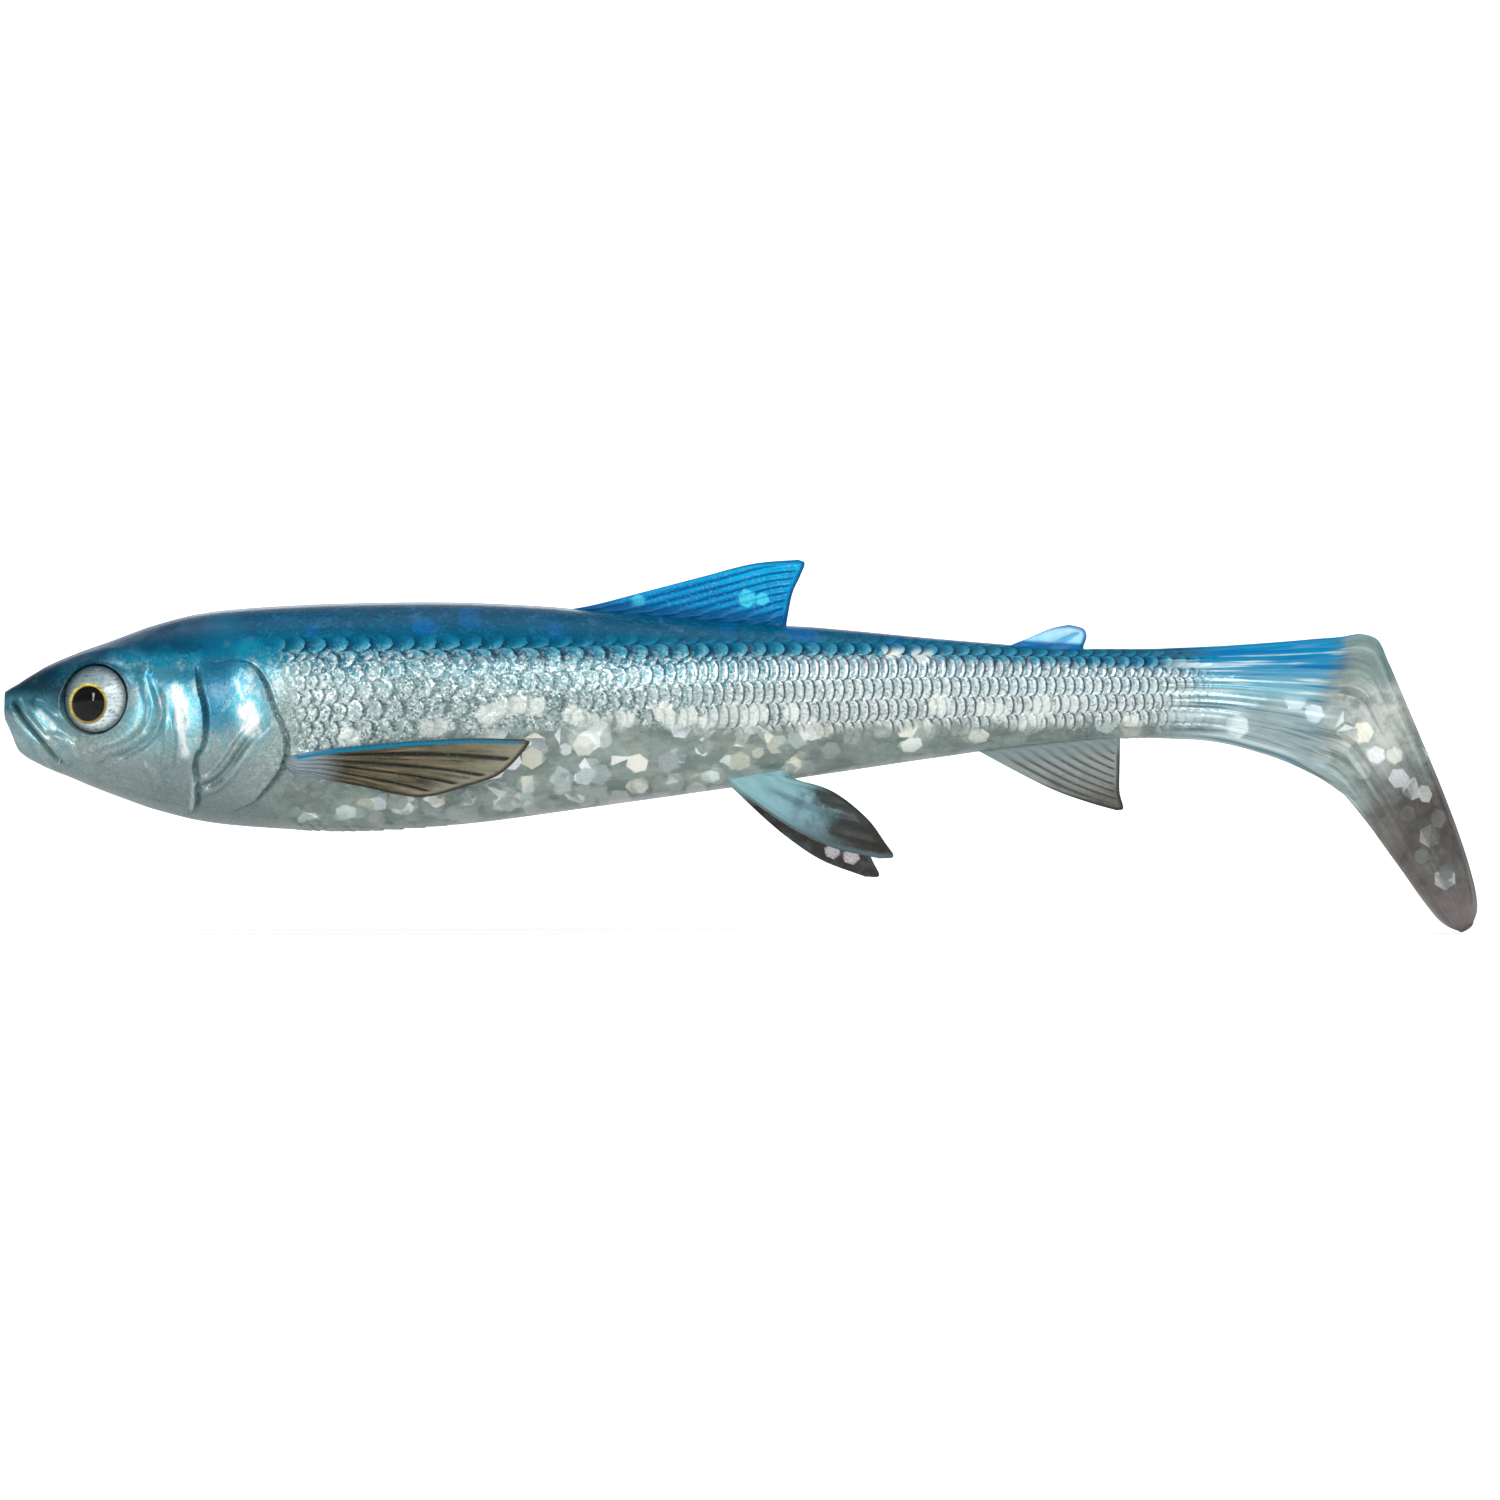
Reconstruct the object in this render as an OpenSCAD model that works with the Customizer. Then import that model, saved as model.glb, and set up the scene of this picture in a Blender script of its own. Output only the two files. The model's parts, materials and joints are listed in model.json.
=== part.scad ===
// Soft paddle-tail swimbait: a moulded fish body with a slim wrist and a boot-shaped paddle,
// seven flexible fins, two glued 3-D eyes and hexagonal glitter flakes set in the plastic.
//
// Frame: origin at the centre of the blunt nose face, +X towards the tail, +Z towards the back,
// and -Y is the fish's left flank. Outline tables are written for a 200 mm lure and scaled from it.
//
// The soft moulding bends along its length. Here it is divided where it bends, and each division
// is a round knuckle in a round seat, so that every link turns about a true axis.

/* [Lure] */
// Overall length, nose to the end of the paddle
lure_l = 200; // [175:5:270]
// Greatest thickness of the trunk, flank to flank
body_w = 23.8; // [19:0.2:27]
// How full the cross-section is: 2 is an ellipse, more is squarer
fullness = 2.2; // [2:0.1:2.6]

/* [Flexing] */
// Swing each way at the front bend of the trunk, degrees
front_bend = 10; // [4:1:12]
// Swing each way at the rear bend of the trunk, degrees
rear_bend = 12; // [4:1:14]
// Swing each way of the tail at its thin wrist, degrees
wrist_bend = 30; // [10:1:32]
// Fore and aft bend of the paddle's lower lobe, degrees
paddle_bend = 14; // [5:1:16]
// Running clearance between a knuckle and its seat
knuckle_gap = 0.06; // [0.04:0.01:0.1]

/* [Fins] */
// Thickness of the upright fins
fin_t = 1.2; // [0.9:0.1:1.6]
// Radius of the round root on which a fin turns
root_r = 0.8; // [0.7:0.05:1.0]
// Outward splay of the pelvic fins from straight down, degrees
pelvic_splay = 24; // [15:1:32]
// Droop of the pelvic fins' free part below the line of the belly, degrees
pelvic_hang = 6.5; // [0:0.5:8]
// How far the right pelvic fin's tip hangs below the left one's, degrees
pelvic_droop = 8; // [0:1:10]
// Angle between the pectoral fins and the flank, degrees
pectoral_flare = 4; // [4:0.5:8]

/* [Eyes] */
// Diameter of a glued eye
eye_d = 9; // [8:0.5:9.5]
// Height of the clear dome above its foil disc
eye_dome = 2.2; // [1.6:0.1:2.6]
// Thickness of the printed foil disc under the dome
foil_t = 0.3; // [0.2:0.05:0.6]
// Forward turn of the eyes, degrees
eye_yaw = 20; // [12:1:26]

/* [Glitter] */
// Corner-to-corner width of a hexagonal flake
flake_w = 3.2; // [2.4:0.1:3.4]
// Thickness of a flake
flake_t = 0.1; // [0.08:0.01:0.15]
// Flakes in the front part of the trunk
front_flakes = 90; // [20:2:110]

/* [Hidden] */
nominal_l = 200;
k = lure_l / nominal_l;
body_n = 32;      // points round a trunk section
tail_n = 24;      // points round a tail section
golden = 0.6180339887;
plastic = 0.7548776662;
bronze = 0.5698402910;

// x, back height, belly height, half thickness as a share of the greatest, height of the widest line
BODY = [
    [0,      1.9,   -1.9, 0.20, -0.2],
    [0.9,    2.5,   -3.9, 0.27, -0.8],
    [1.8,    3.0,   -6.0, 0.32, -1.4],
    [4,      4.4,   -7.6, 0.41, -1.8],
    [8,      6.4,   -9.4, 0.53, -2.0],
    [14,     8.7,  -11.8, 0.71, -2.2],
    [20.5,  11.0,  -14.1, 0.83, -2.4],
    [27,    12.6,  -15.7, 0.905, -2.4],
    [36,    13.45, -16.6, 0.965, -2.2],
    [48,    13.95, -17.0, 1.0,  -2.0],
    [63,    14.0,  -16.0, 0.98, -1.6],
    [80,    13.05, -13.75, 0.89, -0.8],
    [96,    11.7,  -11.5, 0.76,  0],
    [112,   10.5,   -9.2, 0.61,  0.6],
    [128,    9.0,   -6.85, 0.48, 1.1],
    [142,    7.95,  -5.25, 0.375, 1.4],
    [154,    7.75,  -4.4, 0.305, 1.6],
    [162,    7.95,  -4.65, 0.26, 1.6],
];

// Tail sections, each spanning from the upper or rear edge to the lower or front edge:
// upper x, upper z, lower x, lower z, web half thickness, half width of the paddle plate
TAIL = [
    [158,    7.85, 158,   -4.45, 3.2,  0],
    [165,    8.15, 165,   -5.0,  2.75, 0],
    [173,    8.7,  172.6, -7.1,  2.4,  0.1],
    [180.5,  9.3,  177.8, -9.4,  2.15, 0.8],
    [186.0,  9.4,  180.8, -11.3, 2.0,  2.4],
    [188.6,  4.2,  182.8, -13.0, 1.9,  5.2],
    [190.2,  0.7,  184.7, -15.4, 1.8,  6.6],
    [192.7, -5.2,  187.0, -18.6, 1.7,  7.4],
    [195.5, -12.0, 189.8, -22.5, 1.6,  7.5],
    [198.0, -18.8, 192.5, -26.3, 1.45, 6.9],
    [199.6, -24.3, 194.7, -29.0, 1.25, 5.4],
    [200.0, -27.6, 196.2, -30.1, 1.05, 3.6],
    [199.5, -29.3, 197.5, -30.6, 0.7,  1.5],
];
plate_depth = 3.0;   // how quickly the plate thins into the web, in front of the rear edge

bends = [113.5, 127.5, 157];                       // x of the three upright hinges
bend_range = [front_bend, rear_bend, wrist_bend];
paddle_t = 5.5;                                    // place of the paddle's hinge along TAIL
paddle_half_gap = 0.38;                            // half the gap there, in the same measure
paddle_knuckle_r = 2.6;

eye_x = 12.6;
eye_z = 0.9;
eye_sink = 0.9;      // depth of the eye's edge below the skin
eye_seat = 0.1;      // clearance round an eye in its socket

// Fin outlines: corner at the root's front, leading edge to the tip, trailing edge to the root's rear.
DORSAL_LEAD = [[77.5, 13.45], [86.3, 15.9], [94.4, 17.9], [101.0, 19.5], [107.4, 19.9]];
DORSAL_TRAIL = [[108.6, 19.0], [108.0, 16.6], [107.3, 14.0], [106.7, 11.25]];
ADIPOSE_LEAD = [[135.6, 8.7], [138.6, 9.8], [142.0, 10.8], [144.6, 11.05]];
ADIPOSE_TRAIL = [[146.3, 10.5], [146.9, 9.3], [146.7, 8.05]];
ANAL_LEAD = [[131.8, -6.75], [136.5, -9.6], [142.0, -12.3], [146.7, -13.8], [150.2, -14.4]];
ANAL_TRAIL = [[150.9, -13.8], [150.4, -11.4], [150.9, -8.6], [151.8, -4.9]];
// Pectoral, in the fin's own plane: distance behind its root, height above the root's middle.
PECTORAL_LEAD = [[0, 2.1], [5.0, 2.6], [14.0, 3.6], [22.5, 4.3], [30.4, 4.2]];
PECTORAL_TRAIL = [[31.0, 3.2], [27.5, -0.8], [22.5, -2.9], [16.5, -4.4], [9.5, -3.4], [0, -2.1]];
// Pelvic, in the fin's own plane: x, and height above the root line.
PELVIC_LEAD = [[98.2, 0], [102.0, -3.2], [106.8, -6.9], [112.2, -9.9], [118.2, -11.7]];
PELVIC_TRAIL = [[120.6, -11.6], [119.4, -9.4], [116.8, -5.4], [112.2, -1.8], [106.2, 0]];

pectoral_x = 40.4;
pectoral_z = -8;
pelvic_y = 3.6;
pelvic_front_z = -10.9;
pelvic_rear_z = -9.7;

// ---------- curves ----------

function span_of(t, x, i = 0) = i >= len(t) - 2 || x < t[i + 1][0] ? i : span_of(t, x, i + 1);

function slope(t, i, c) =
    let (a = max(i - 1, 0), b = min(i + 1, len(t) - 1))
    (t[b][c] - t[a][c]) / (t[b][0] - t[a][0]);

function hermite(a, b, da, db, u) =
    a * (1 + 2 * u) * (1 - u) * (1 - u) + da * u * (1 - u) * (1 - u)
    + b * u * u * (3 - 2 * u) - db * u * u * (1 - u);

// Column c of table t, read smoothly at x, with the table's first column as its measure.
function read(t, c, x) =
    let (i = span_of(t, x), h = t[i + 1][0] - t[i][0], u = (x - t[i][0]) / h)
    hermite(t[i][c], t[i + 1][c], slope(t, i, c) * h, slope(t, i + 1, c) * h, u);

function signed_power(v, p) = sign(v) * pow(abs(v), p);

function fraction(v) = v - floor(v);

// A smooth chain through points, n steps between each two.
function chain(p, n) =
    let (t = [for (i = [0:len(p) - 1]) [i, p[i][0], p[i][1]]])
    [for (i = [0:(len(p) - 1) * n]) [read(t, 1, i / n), read(t, 2, i / n)]];

// ---------- trunk ----------

function back(x) = read(BODY, 1, x);
function belly(x) = read(BODY, 2, x);
function half(x) = read(BODY, 3, x) * body_w / 2;
function widest(x) = read(BODY, 4, x);

function trunk_point(x, a, inset = 0) =
    let (p = 2 / fullness,
         rise = sin(a) > 0 ? back(x) - widest(x) : widest(x) - belly(x))
    [x,
     (half(x) - inset) * signed_power(cos(a), p),
     widest(x) + (rise - inset) * signed_power(sin(a), p)];

function trunk_ring(x) = [for (i = [0:body_n - 1]) trunk_point(x, -360 * i / body_n)];

// Closed skin over a list of rings with the same number of points.
module skin(rings) {
    n = len(rings[0]);
    m = len(rings);
    points = [for (r = rings) each r];
    sides = [for (j = [0:m - 2], i = [0:n - 1])
        let (a = j * n + i, b = j * n + (i + 1) % n)
        each [[a, b, b + n], [a, b + n, a + n]]];
    ends = [
        [for (i = [0:n - 1]) n - 1 - i],
        [for (i = [0:n - 1]) (m - 1) * n + i],
    ];
    polyhedron(points = points, faces = concat(sides, ends));
}

// Stations get closer towards the nose, where the outline turns quickly.
function stations(a, b) =
    let (nose = [0, 0.45, 0.9, 1.8, 2.9, 4, 6], step = 3.6,
         from = a > 0 ? a : 8, n = ceil((b - from) / step))
    concat(a > 0 ? [] : nose, [for (i = [0:n]) from + (b - from) * i / n]);

module trunk(a, b) skin([for (x = stations(a, b)) trunk_ring(x)]);

// ---------- upright hinges ----------

function bend_gap(i) = half(bends[i]) * tan(bend_range[i] / 2) + 0.1;
function knuckle_r(i) = 0.62 * half(bends[i]);
function knuckle_low(i) = widest(bends[i]) - 0.68 * (widest(bends[i]) - belly(bends[i]));
function knuckle_high(i) = widest(bends[i]) + 0.68 * (back(bends[i]) - widest(bends[i]));

module knuckle(i, grow = 0, end_gap = 0) {
    translate([bends[i], 0, knuckle_low(i) - end_gap])
        cylinder(r = knuckle_r(i) + grow, h = knuckle_high(i) - knuckle_low(i) + 2 * end_gap, $fn = 64);
}

module knuckle_seat(i) knuckle(i, knuckle_gap, 0.15);

// ---------- tail ----------

TAIL_T = [for (i = [0:len(TAIL) - 1]) concat([i], TAIL[i])];

function tail_value(c, t) = read(TAIL_T, c, t);

// Half thickness at share q of the way from the upper or rear edge to the lower or front one.
function tail_half(t, q, chord) =
    let (web = tail_value(5, t), plate = max(tail_value(6, t), 0),
         blend = min(max(t / 3, 0), 1),
         lens = pow(1 - pow(abs(2 * q - 1), 2.2), 1 / 2.2),
         slab = pow(1 - pow(abs(2 * q - 1), 6), 1 / 2),
         fall = exp(-pow(q * chord / plate_depth, 2) / 2))
    (lens * (1 - blend) + slab * blend) * web * (1 - 0.35 * blend * q) + slab * max(plate - web, 0) * fall;

// Points bunch towards both edges, where the section turns.
function tail_ring(t) =
    let (u = [tail_value(1, t), tail_value(2, t)], l = [tail_value(3, t), tail_value(4, t)],
         chord = norm(u - l), m = tail_n / 2)
    [for (i = [0:tail_n - 1])
        let (side = i < m ? 1 : -1, j = i < m ? i : tail_n - i,
             q = (1 - cos(180 * j / m)) / 2, p = u + (l - u) * q)
        [p[0], side * tail_half(t, q, chord), p[1]]];

module tail(t0, t1) {
    n = ceil((t1 - t0) * 2);
    skin([for (i = [0:n]) tail_ring(t0 + (t1 - t0) * i / n)]);
}

function tail_middle(t) =
    [(tail_value(1, t) + tail_value(3, t)) / 2, 0, (tail_value(2, t) + tail_value(4, t)) / 2];

module paddle_knuckle(grow = 0, length = 3) {
    translate(tail_middle(paddle_t))
        rotate([90, 0, 0]) cylinder(r = paddle_knuckle_r + grow, h = length, center = true, $fn = 48);
}

// ---------- fins ----------

module blade(lead, trail, t) {
    rotate([90, 0, 0]) linear_extrude(height = t, center = true)
        polygon(concat(chain(lead, 4), chain(trail, 4)));
}

// A round root between two points.
module root(a, b, grow = 0) {
    d = b - a;
    translate(a) rotate([0, acos(d[2] / norm(d)), atan2(d[1], d[0])])
        cylinder(r = root_r + grow, h = norm(d), $fn = 32);
}

module fin_slot(a, b) {
    d = (b - a) / norm(b - a) * 0.2;
    root(a - d, b + d, knuckle_gap);
}

function upright(p) = [p[0], 0, p[1]];
function first(p) = upright(p[0]);
function last(p) = upright(p[len(p) - 1]);

module upright_fin(lead, trail) {
    blade(lead, trail, fin_t);
    root(first(lead), last(trail));
}

// Places a pectoral fin's own plane on the flank: side -1 is the left one.
module on_flank(side) {
    low = trunk_point_at(pectoral_x, pectoral_z - 2, side);
    high = trunk_point_at(pectoral_x, pectoral_z + 2, side);
    lean = atan2(side * (high[1] - low[1]), 4);
    middle = (low + high) / 2;
    translate([middle[0], middle[1] + side * 0.55, middle[2]])
        rotate([-side * lean, 0, 0]) rotate([0, 0, side * pectoral_flare]) children();
}

// A point of the skin at a stated height, on one side.
function trunk_point_at(x, z, side) =
    let (rise = z > widest(x) ? back(x) - widest(x) : widest(x) - belly(x),
         s = abs(z - widest(x)) / rise)
    [x, side * half(x) * pow(1 - pow(s, fullness), 1 / fullness), z];

module pectoral(side) on_flank(side) {
    blade(PECTORAL_LEAD, PECTORAL_TRAIL, 0.9);
    root([0, 0, -2.4], [0, 0, 2.4]);
}

module pectoral_slot(side) on_flank(side) fin_slot([0, 0, -2.4], [0, 0, 2.4]);

// Places a pelvic fin's own plane on its root line under the belly.
module under_belly(side) {
    dz = pelvic_rear_z - pelvic_front_z;
    dx = last(PELVIC_TRAIL)[0] - first(PELVIC_LEAD)[0];
    translate([first(PELVIC_LEAD)[0], side * pelvic_y, pelvic_front_z])
        rotate([0, -atan2(dz, dx), 0])
        rotate([side * pelvic_splay, 0, 0])
        translate([-first(PELVIC_LEAD)[0], 0, 0]) children();
}

// An outline's points, swung down about the root's front corner.
function hang(points, droop) =
    let (o = PELVIC_LEAD[0])
    [for (p = points)
        [o[0] + (p[0] - o[0]) * cos(droop) + (p[1] - o[1]) * sin(droop),
         o[1] - (p[0] - o[0]) * sin(droop) + (p[1] - o[1]) * cos(droop)]];

// The free part of the blade hangs by droop; its root stays on the belly.
module pelvic(side, droop) under_belly(side) {
    free_trail = [for (i = [0:len(PELVIC_TRAIL) - 2]) PELVIC_TRAIL[i]];
    blade(hang(PELVIC_LEAD, droop), concat(hang(free_trail, droop), [last(PELVIC_TRAIL)]), 1.1);
    root(first(PELVIC_LEAD), last(PELVIC_TRAIL));
}

module pelvic_slot(side) under_belly(side) fin_slot(first(PELVIC_LEAD), last(PELVIC_TRAIL));

// ---------- eyes ----------

module at_eye(side) {
    p = trunk_point_at(eye_x, eye_z, side);
    translate([p[0], p[1] - side * eye_sink, p[2]])
        rotate([0, 0, side * eye_yaw]) rotate([-side * 87, 0, 0]) children();
}

// Height of a cap of base radius r and height h, at distance d from its axis.
function cap(r, h, d) = let (s = (r * r + h * h) / (2 * h)) h - s + sqrt(max(s * s - d * d, 0));

module eye_foil() translate([0, 0, -foil_t]) cylinder(r = eye_d / 2, h = foil_t, $fn = 96);

module eye_lens() rotate_extrude($fn = 96) {
    r = eye_d / 2;
    n = 16;
    polygon(concat([[0, 0]], [for (i = [n:-1:0]) [r * i / n, cap(r, eye_dome, r * i / n)]]));
}

module eye_socket() translate([0, 0, -foil_t - 0.02])
    cylinder(r = eye_d / 2 + eye_seat, h = 8, $fn = 96);

// ---------- glitter ----------

module flake() cylinder(r = flake_w / 2, h = flake_t, center = true, $fn = 6);

// Flakes number i0 to i1 between x a and x b, just under the skin of both flanks, down to angle low.
// None lies where a paired fin is rooted.
module trunk_flakes(a, b, i0, i1, low) for (i = [i0:i1]) {
    side = i % 2 == 0 ? -1 : 1;
    v = fraction(i * plastic);
    w = fraction(i * bronze);
    x = a + (b - a) * fraction(i * golden);
    angle = 10 + (low - 10) * v;
    p = trunk_point(x, angle, 0.6 + 0.9 * w);
    facing = atan2(half(x) * sin(angle), (back(x) - belly(x)) / 2 * cos(angle));
    by_pectoral = abs(x - pectoral_x) < 4 && abs(p[2] - pectoral_z) < 5.5;
    by_pelvic = x > 94 && p[2] < -6.5;
    if (!by_pectoral && !by_pelvic)
        translate([p[0], side * p[1], p[2]])
            rotate([-side * (90 - facing) + 12 * (w - 0.5), 14 * (v - 0.5), 0])
            rotate([0, 0, 60 * w]) flake();
}

// Flakes in the tail lie flat in its web, on either side of the middle.
module tail_flakes(t0, t1, n, reach) for (i = [1:n]) {
    t = t0 + (t1 - t0) * (i - 0.5) / n;
    q = 0.28 + reach * fraction(i * golden);
    side = i % 2 == 0 ? -1 : 1;
    u = [tail_value(1, t), tail_value(2, t)];
    l = [tail_value(3, t), tail_value(4, t)];
    p = u + (l - u) * q;
    translate([p[0], side * (tail_half(t, 0.5, norm(u - l)) - 0.4), p[1]])
        rotate([90 + 8 * (q - 0.5), 0, 0]) rotate([0, 0, 60 * q]) flake();
}

// ---------- nodes ----------

module front_body() color([0.35, 0.62, 0.70]) scale(k) difference() {
    trunk(0, bends[0] - bend_gap(0));
    knuckle_seat(0);
    for (side = [-1, 1]) {
        at_eye(side) eye_socket();
        pectoral_slot(side);
        pelvic_slot(side);
    }
    fin_slot(first(DORSAL_LEAD), last(DORSAL_TRAIL));
}

module mid_body() color([0.42, 0.66, 0.72]) scale(k) difference() {
    union() {
        trunk(bends[0] + bend_gap(0), bends[1] - bend_gap(1));
        knuckle(0);
    }
    knuckle_seat(1);
}

module rear_body() color([0.48, 0.68, 0.73]) scale(k) difference() {
    union() {
        trunk(bends[1] + bend_gap(1), bends[2] - bend_gap(2));
        knuckle(1);
    }
    knuckle_seat(2);
    fin_slot(first(ADIPOSE_LEAD), last(ADIPOSE_TRAIL));
    fin_slot(first(ANAL_LEAD), last(ANAL_TRAIL));
}

module tail_stem() color([0.55, 0.70, 0.73]) scale(k) difference() {
    union() {
        tail(bend_gap(2) / 7, paddle_t - paddle_half_gap);
        knuckle(2);
    }
    paddle_knuckle(knuckle_gap, 12);
}

module tail_paddle() color([0.50, 0.50, 0.48]) scale(k) {
    tail(paddle_t + paddle_half_gap, len(TAIL) - 1);
    paddle_knuckle();
}

module dorsal_fin() color([0.03, 0.50, 0.75]) scale(k) upright_fin(DORSAL_LEAD, DORSAL_TRAIL);
module adipose_fin() color([0.25, 0.65, 0.82]) scale(k) upright_fin(ADIPOSE_LEAD, ADIPOSE_TRAIL);
module anal_fin() color([0.50, 0.50, 0.46]) scale(k) upright_fin(ANAL_LEAD, ANAL_TRAIL);
module pectoral_fin_left() color([0.36, 0.35, 0.28]) scale(k) pectoral(-1);
module pectoral_fin_right() color([0.36, 0.35, 0.28]) scale(k) pectoral(1);
module pelvic_fin_left() color([0.42, 0.52, 0.54]) scale(k) pelvic(-1, pelvic_hang);
module pelvic_fin_right() color([0.42, 0.52, 0.54]) scale(k) pelvic(1, pelvic_hang + pelvic_droop);
module eye_foil_left() color([0.80, 0.85, 0.85]) scale(k) at_eye(-1) eye_foil();
module eye_foil_right() color([0.80, 0.85, 0.85]) scale(k) at_eye(1) eye_foil();
module eye_lens_left() color([0.9, 0.95, 0.95, 0.3]) scale(k) at_eye(-1) eye_lens();
module eye_lens_right() color([0.9, 0.95, 0.95, 0.3]) scale(k) at_eye(1) eye_lens();
module glitter_front() color([0.9, 0.9, 0.88]) scale(k) trunk_flakes(30, 106, 1, front_flakes, -74);
module glitter_mid() color([0.9, 0.9, 0.88]) scale(k) trunk_flakes(117.5, 124, 2, 7, -60);
module glitter_rear() color([0.9, 0.9, 0.88]) scale(k) trunk_flakes(131, 151.5, 3, 14, -45);
module glitter_stem() color([0.9, 0.9, 0.88]) scale(k) tail_flakes(1.6, 4.7, 10, 0.4);
module glitter_paddle() color([0.9, 0.9, 0.88]) scale(k) tail_flakes(6.5, 9.4, 6, 0.34);

front_body();
mid_body();
rear_body();
tail_stem();
tail_paddle();
dorsal_fin();
adipose_fin();
anal_fin();
pectoral_fin_left();
pectoral_fin_right();
pelvic_fin_left();
pelvic_fin_right();
eye_foil_left();
eye_foil_right();
eye_lens_left();
eye_lens_right();
glitter_front();
glitter_mid();
glitter_rear();
glitter_stem();
glitter_paddle();
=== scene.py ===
# A soft paddle-tail swimbait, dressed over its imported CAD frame.
#
# The skin is one smooth surface through the CAD body's own sections. It is cut into pieces between
# the CAD hinges, and each piece bends across one hinge. Scales, gill plates, mouth and fin rays are
# relief in the mesh. Paint regions are measured on the mesh and mixed in node materials.
# Sizes are in mm on a lure 200 mm long: x from the nose, y to the right side, z up from the hinges.
import json
import math
from types import SimpleNamespace

import bmesh
import bpy
import numpy as np
from mathutils import Vector
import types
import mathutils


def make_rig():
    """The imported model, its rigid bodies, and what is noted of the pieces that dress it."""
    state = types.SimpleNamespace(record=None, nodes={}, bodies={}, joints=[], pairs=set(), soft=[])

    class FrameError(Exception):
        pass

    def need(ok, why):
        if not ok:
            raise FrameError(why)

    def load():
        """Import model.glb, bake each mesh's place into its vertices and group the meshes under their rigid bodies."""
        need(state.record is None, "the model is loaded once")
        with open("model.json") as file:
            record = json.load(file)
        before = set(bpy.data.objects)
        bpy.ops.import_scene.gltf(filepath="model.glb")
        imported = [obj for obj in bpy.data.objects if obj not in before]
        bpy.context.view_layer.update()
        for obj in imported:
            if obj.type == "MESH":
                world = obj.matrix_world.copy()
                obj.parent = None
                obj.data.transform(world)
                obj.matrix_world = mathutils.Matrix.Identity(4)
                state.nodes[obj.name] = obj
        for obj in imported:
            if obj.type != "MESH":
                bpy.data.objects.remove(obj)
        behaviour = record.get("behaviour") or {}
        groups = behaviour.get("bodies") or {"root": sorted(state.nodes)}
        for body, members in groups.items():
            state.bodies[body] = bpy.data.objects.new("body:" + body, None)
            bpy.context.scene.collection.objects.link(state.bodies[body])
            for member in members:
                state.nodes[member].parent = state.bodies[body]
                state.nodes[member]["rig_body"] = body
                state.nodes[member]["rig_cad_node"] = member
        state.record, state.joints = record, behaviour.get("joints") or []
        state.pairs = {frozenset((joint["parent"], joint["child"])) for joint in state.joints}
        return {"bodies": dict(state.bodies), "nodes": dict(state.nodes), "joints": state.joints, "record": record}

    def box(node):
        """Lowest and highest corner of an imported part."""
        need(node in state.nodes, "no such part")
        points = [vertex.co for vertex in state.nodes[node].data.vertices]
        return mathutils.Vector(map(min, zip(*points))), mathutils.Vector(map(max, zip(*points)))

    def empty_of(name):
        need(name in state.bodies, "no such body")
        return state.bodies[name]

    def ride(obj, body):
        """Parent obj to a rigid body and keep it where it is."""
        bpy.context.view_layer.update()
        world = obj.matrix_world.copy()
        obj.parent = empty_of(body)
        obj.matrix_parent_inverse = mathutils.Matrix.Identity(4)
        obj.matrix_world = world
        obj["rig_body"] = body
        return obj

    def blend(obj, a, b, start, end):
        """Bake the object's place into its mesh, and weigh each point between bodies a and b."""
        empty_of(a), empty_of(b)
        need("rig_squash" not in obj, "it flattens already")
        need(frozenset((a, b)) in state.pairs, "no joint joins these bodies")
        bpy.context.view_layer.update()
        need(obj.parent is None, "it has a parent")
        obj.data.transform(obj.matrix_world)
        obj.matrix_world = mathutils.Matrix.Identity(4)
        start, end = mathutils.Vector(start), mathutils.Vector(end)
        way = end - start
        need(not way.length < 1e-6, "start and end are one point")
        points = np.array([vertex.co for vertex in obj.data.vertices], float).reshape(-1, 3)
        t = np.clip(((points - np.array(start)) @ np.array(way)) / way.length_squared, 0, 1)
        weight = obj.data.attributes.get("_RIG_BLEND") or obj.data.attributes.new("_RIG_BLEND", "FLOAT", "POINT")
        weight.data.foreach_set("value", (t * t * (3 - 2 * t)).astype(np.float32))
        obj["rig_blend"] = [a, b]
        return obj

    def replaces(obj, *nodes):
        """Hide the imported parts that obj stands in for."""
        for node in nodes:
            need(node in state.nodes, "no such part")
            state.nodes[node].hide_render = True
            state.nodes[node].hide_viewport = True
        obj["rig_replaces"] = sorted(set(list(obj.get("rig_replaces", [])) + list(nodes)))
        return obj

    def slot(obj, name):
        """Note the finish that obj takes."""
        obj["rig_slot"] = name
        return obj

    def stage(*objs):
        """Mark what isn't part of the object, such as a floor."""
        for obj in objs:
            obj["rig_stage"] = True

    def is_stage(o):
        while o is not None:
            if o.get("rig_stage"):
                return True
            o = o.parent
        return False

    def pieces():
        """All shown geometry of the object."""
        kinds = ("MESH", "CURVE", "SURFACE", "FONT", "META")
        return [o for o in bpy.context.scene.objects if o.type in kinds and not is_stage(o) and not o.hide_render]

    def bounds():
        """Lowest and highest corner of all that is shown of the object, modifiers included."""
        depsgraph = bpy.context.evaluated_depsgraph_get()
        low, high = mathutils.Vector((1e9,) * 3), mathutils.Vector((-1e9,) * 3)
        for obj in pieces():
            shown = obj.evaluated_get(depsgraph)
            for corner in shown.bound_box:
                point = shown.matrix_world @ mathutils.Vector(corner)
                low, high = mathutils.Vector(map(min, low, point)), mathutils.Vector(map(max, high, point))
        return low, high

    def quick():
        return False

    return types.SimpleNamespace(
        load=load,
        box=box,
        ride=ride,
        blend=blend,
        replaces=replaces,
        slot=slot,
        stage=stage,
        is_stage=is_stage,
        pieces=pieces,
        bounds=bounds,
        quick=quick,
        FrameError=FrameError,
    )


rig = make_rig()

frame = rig.load()
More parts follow.
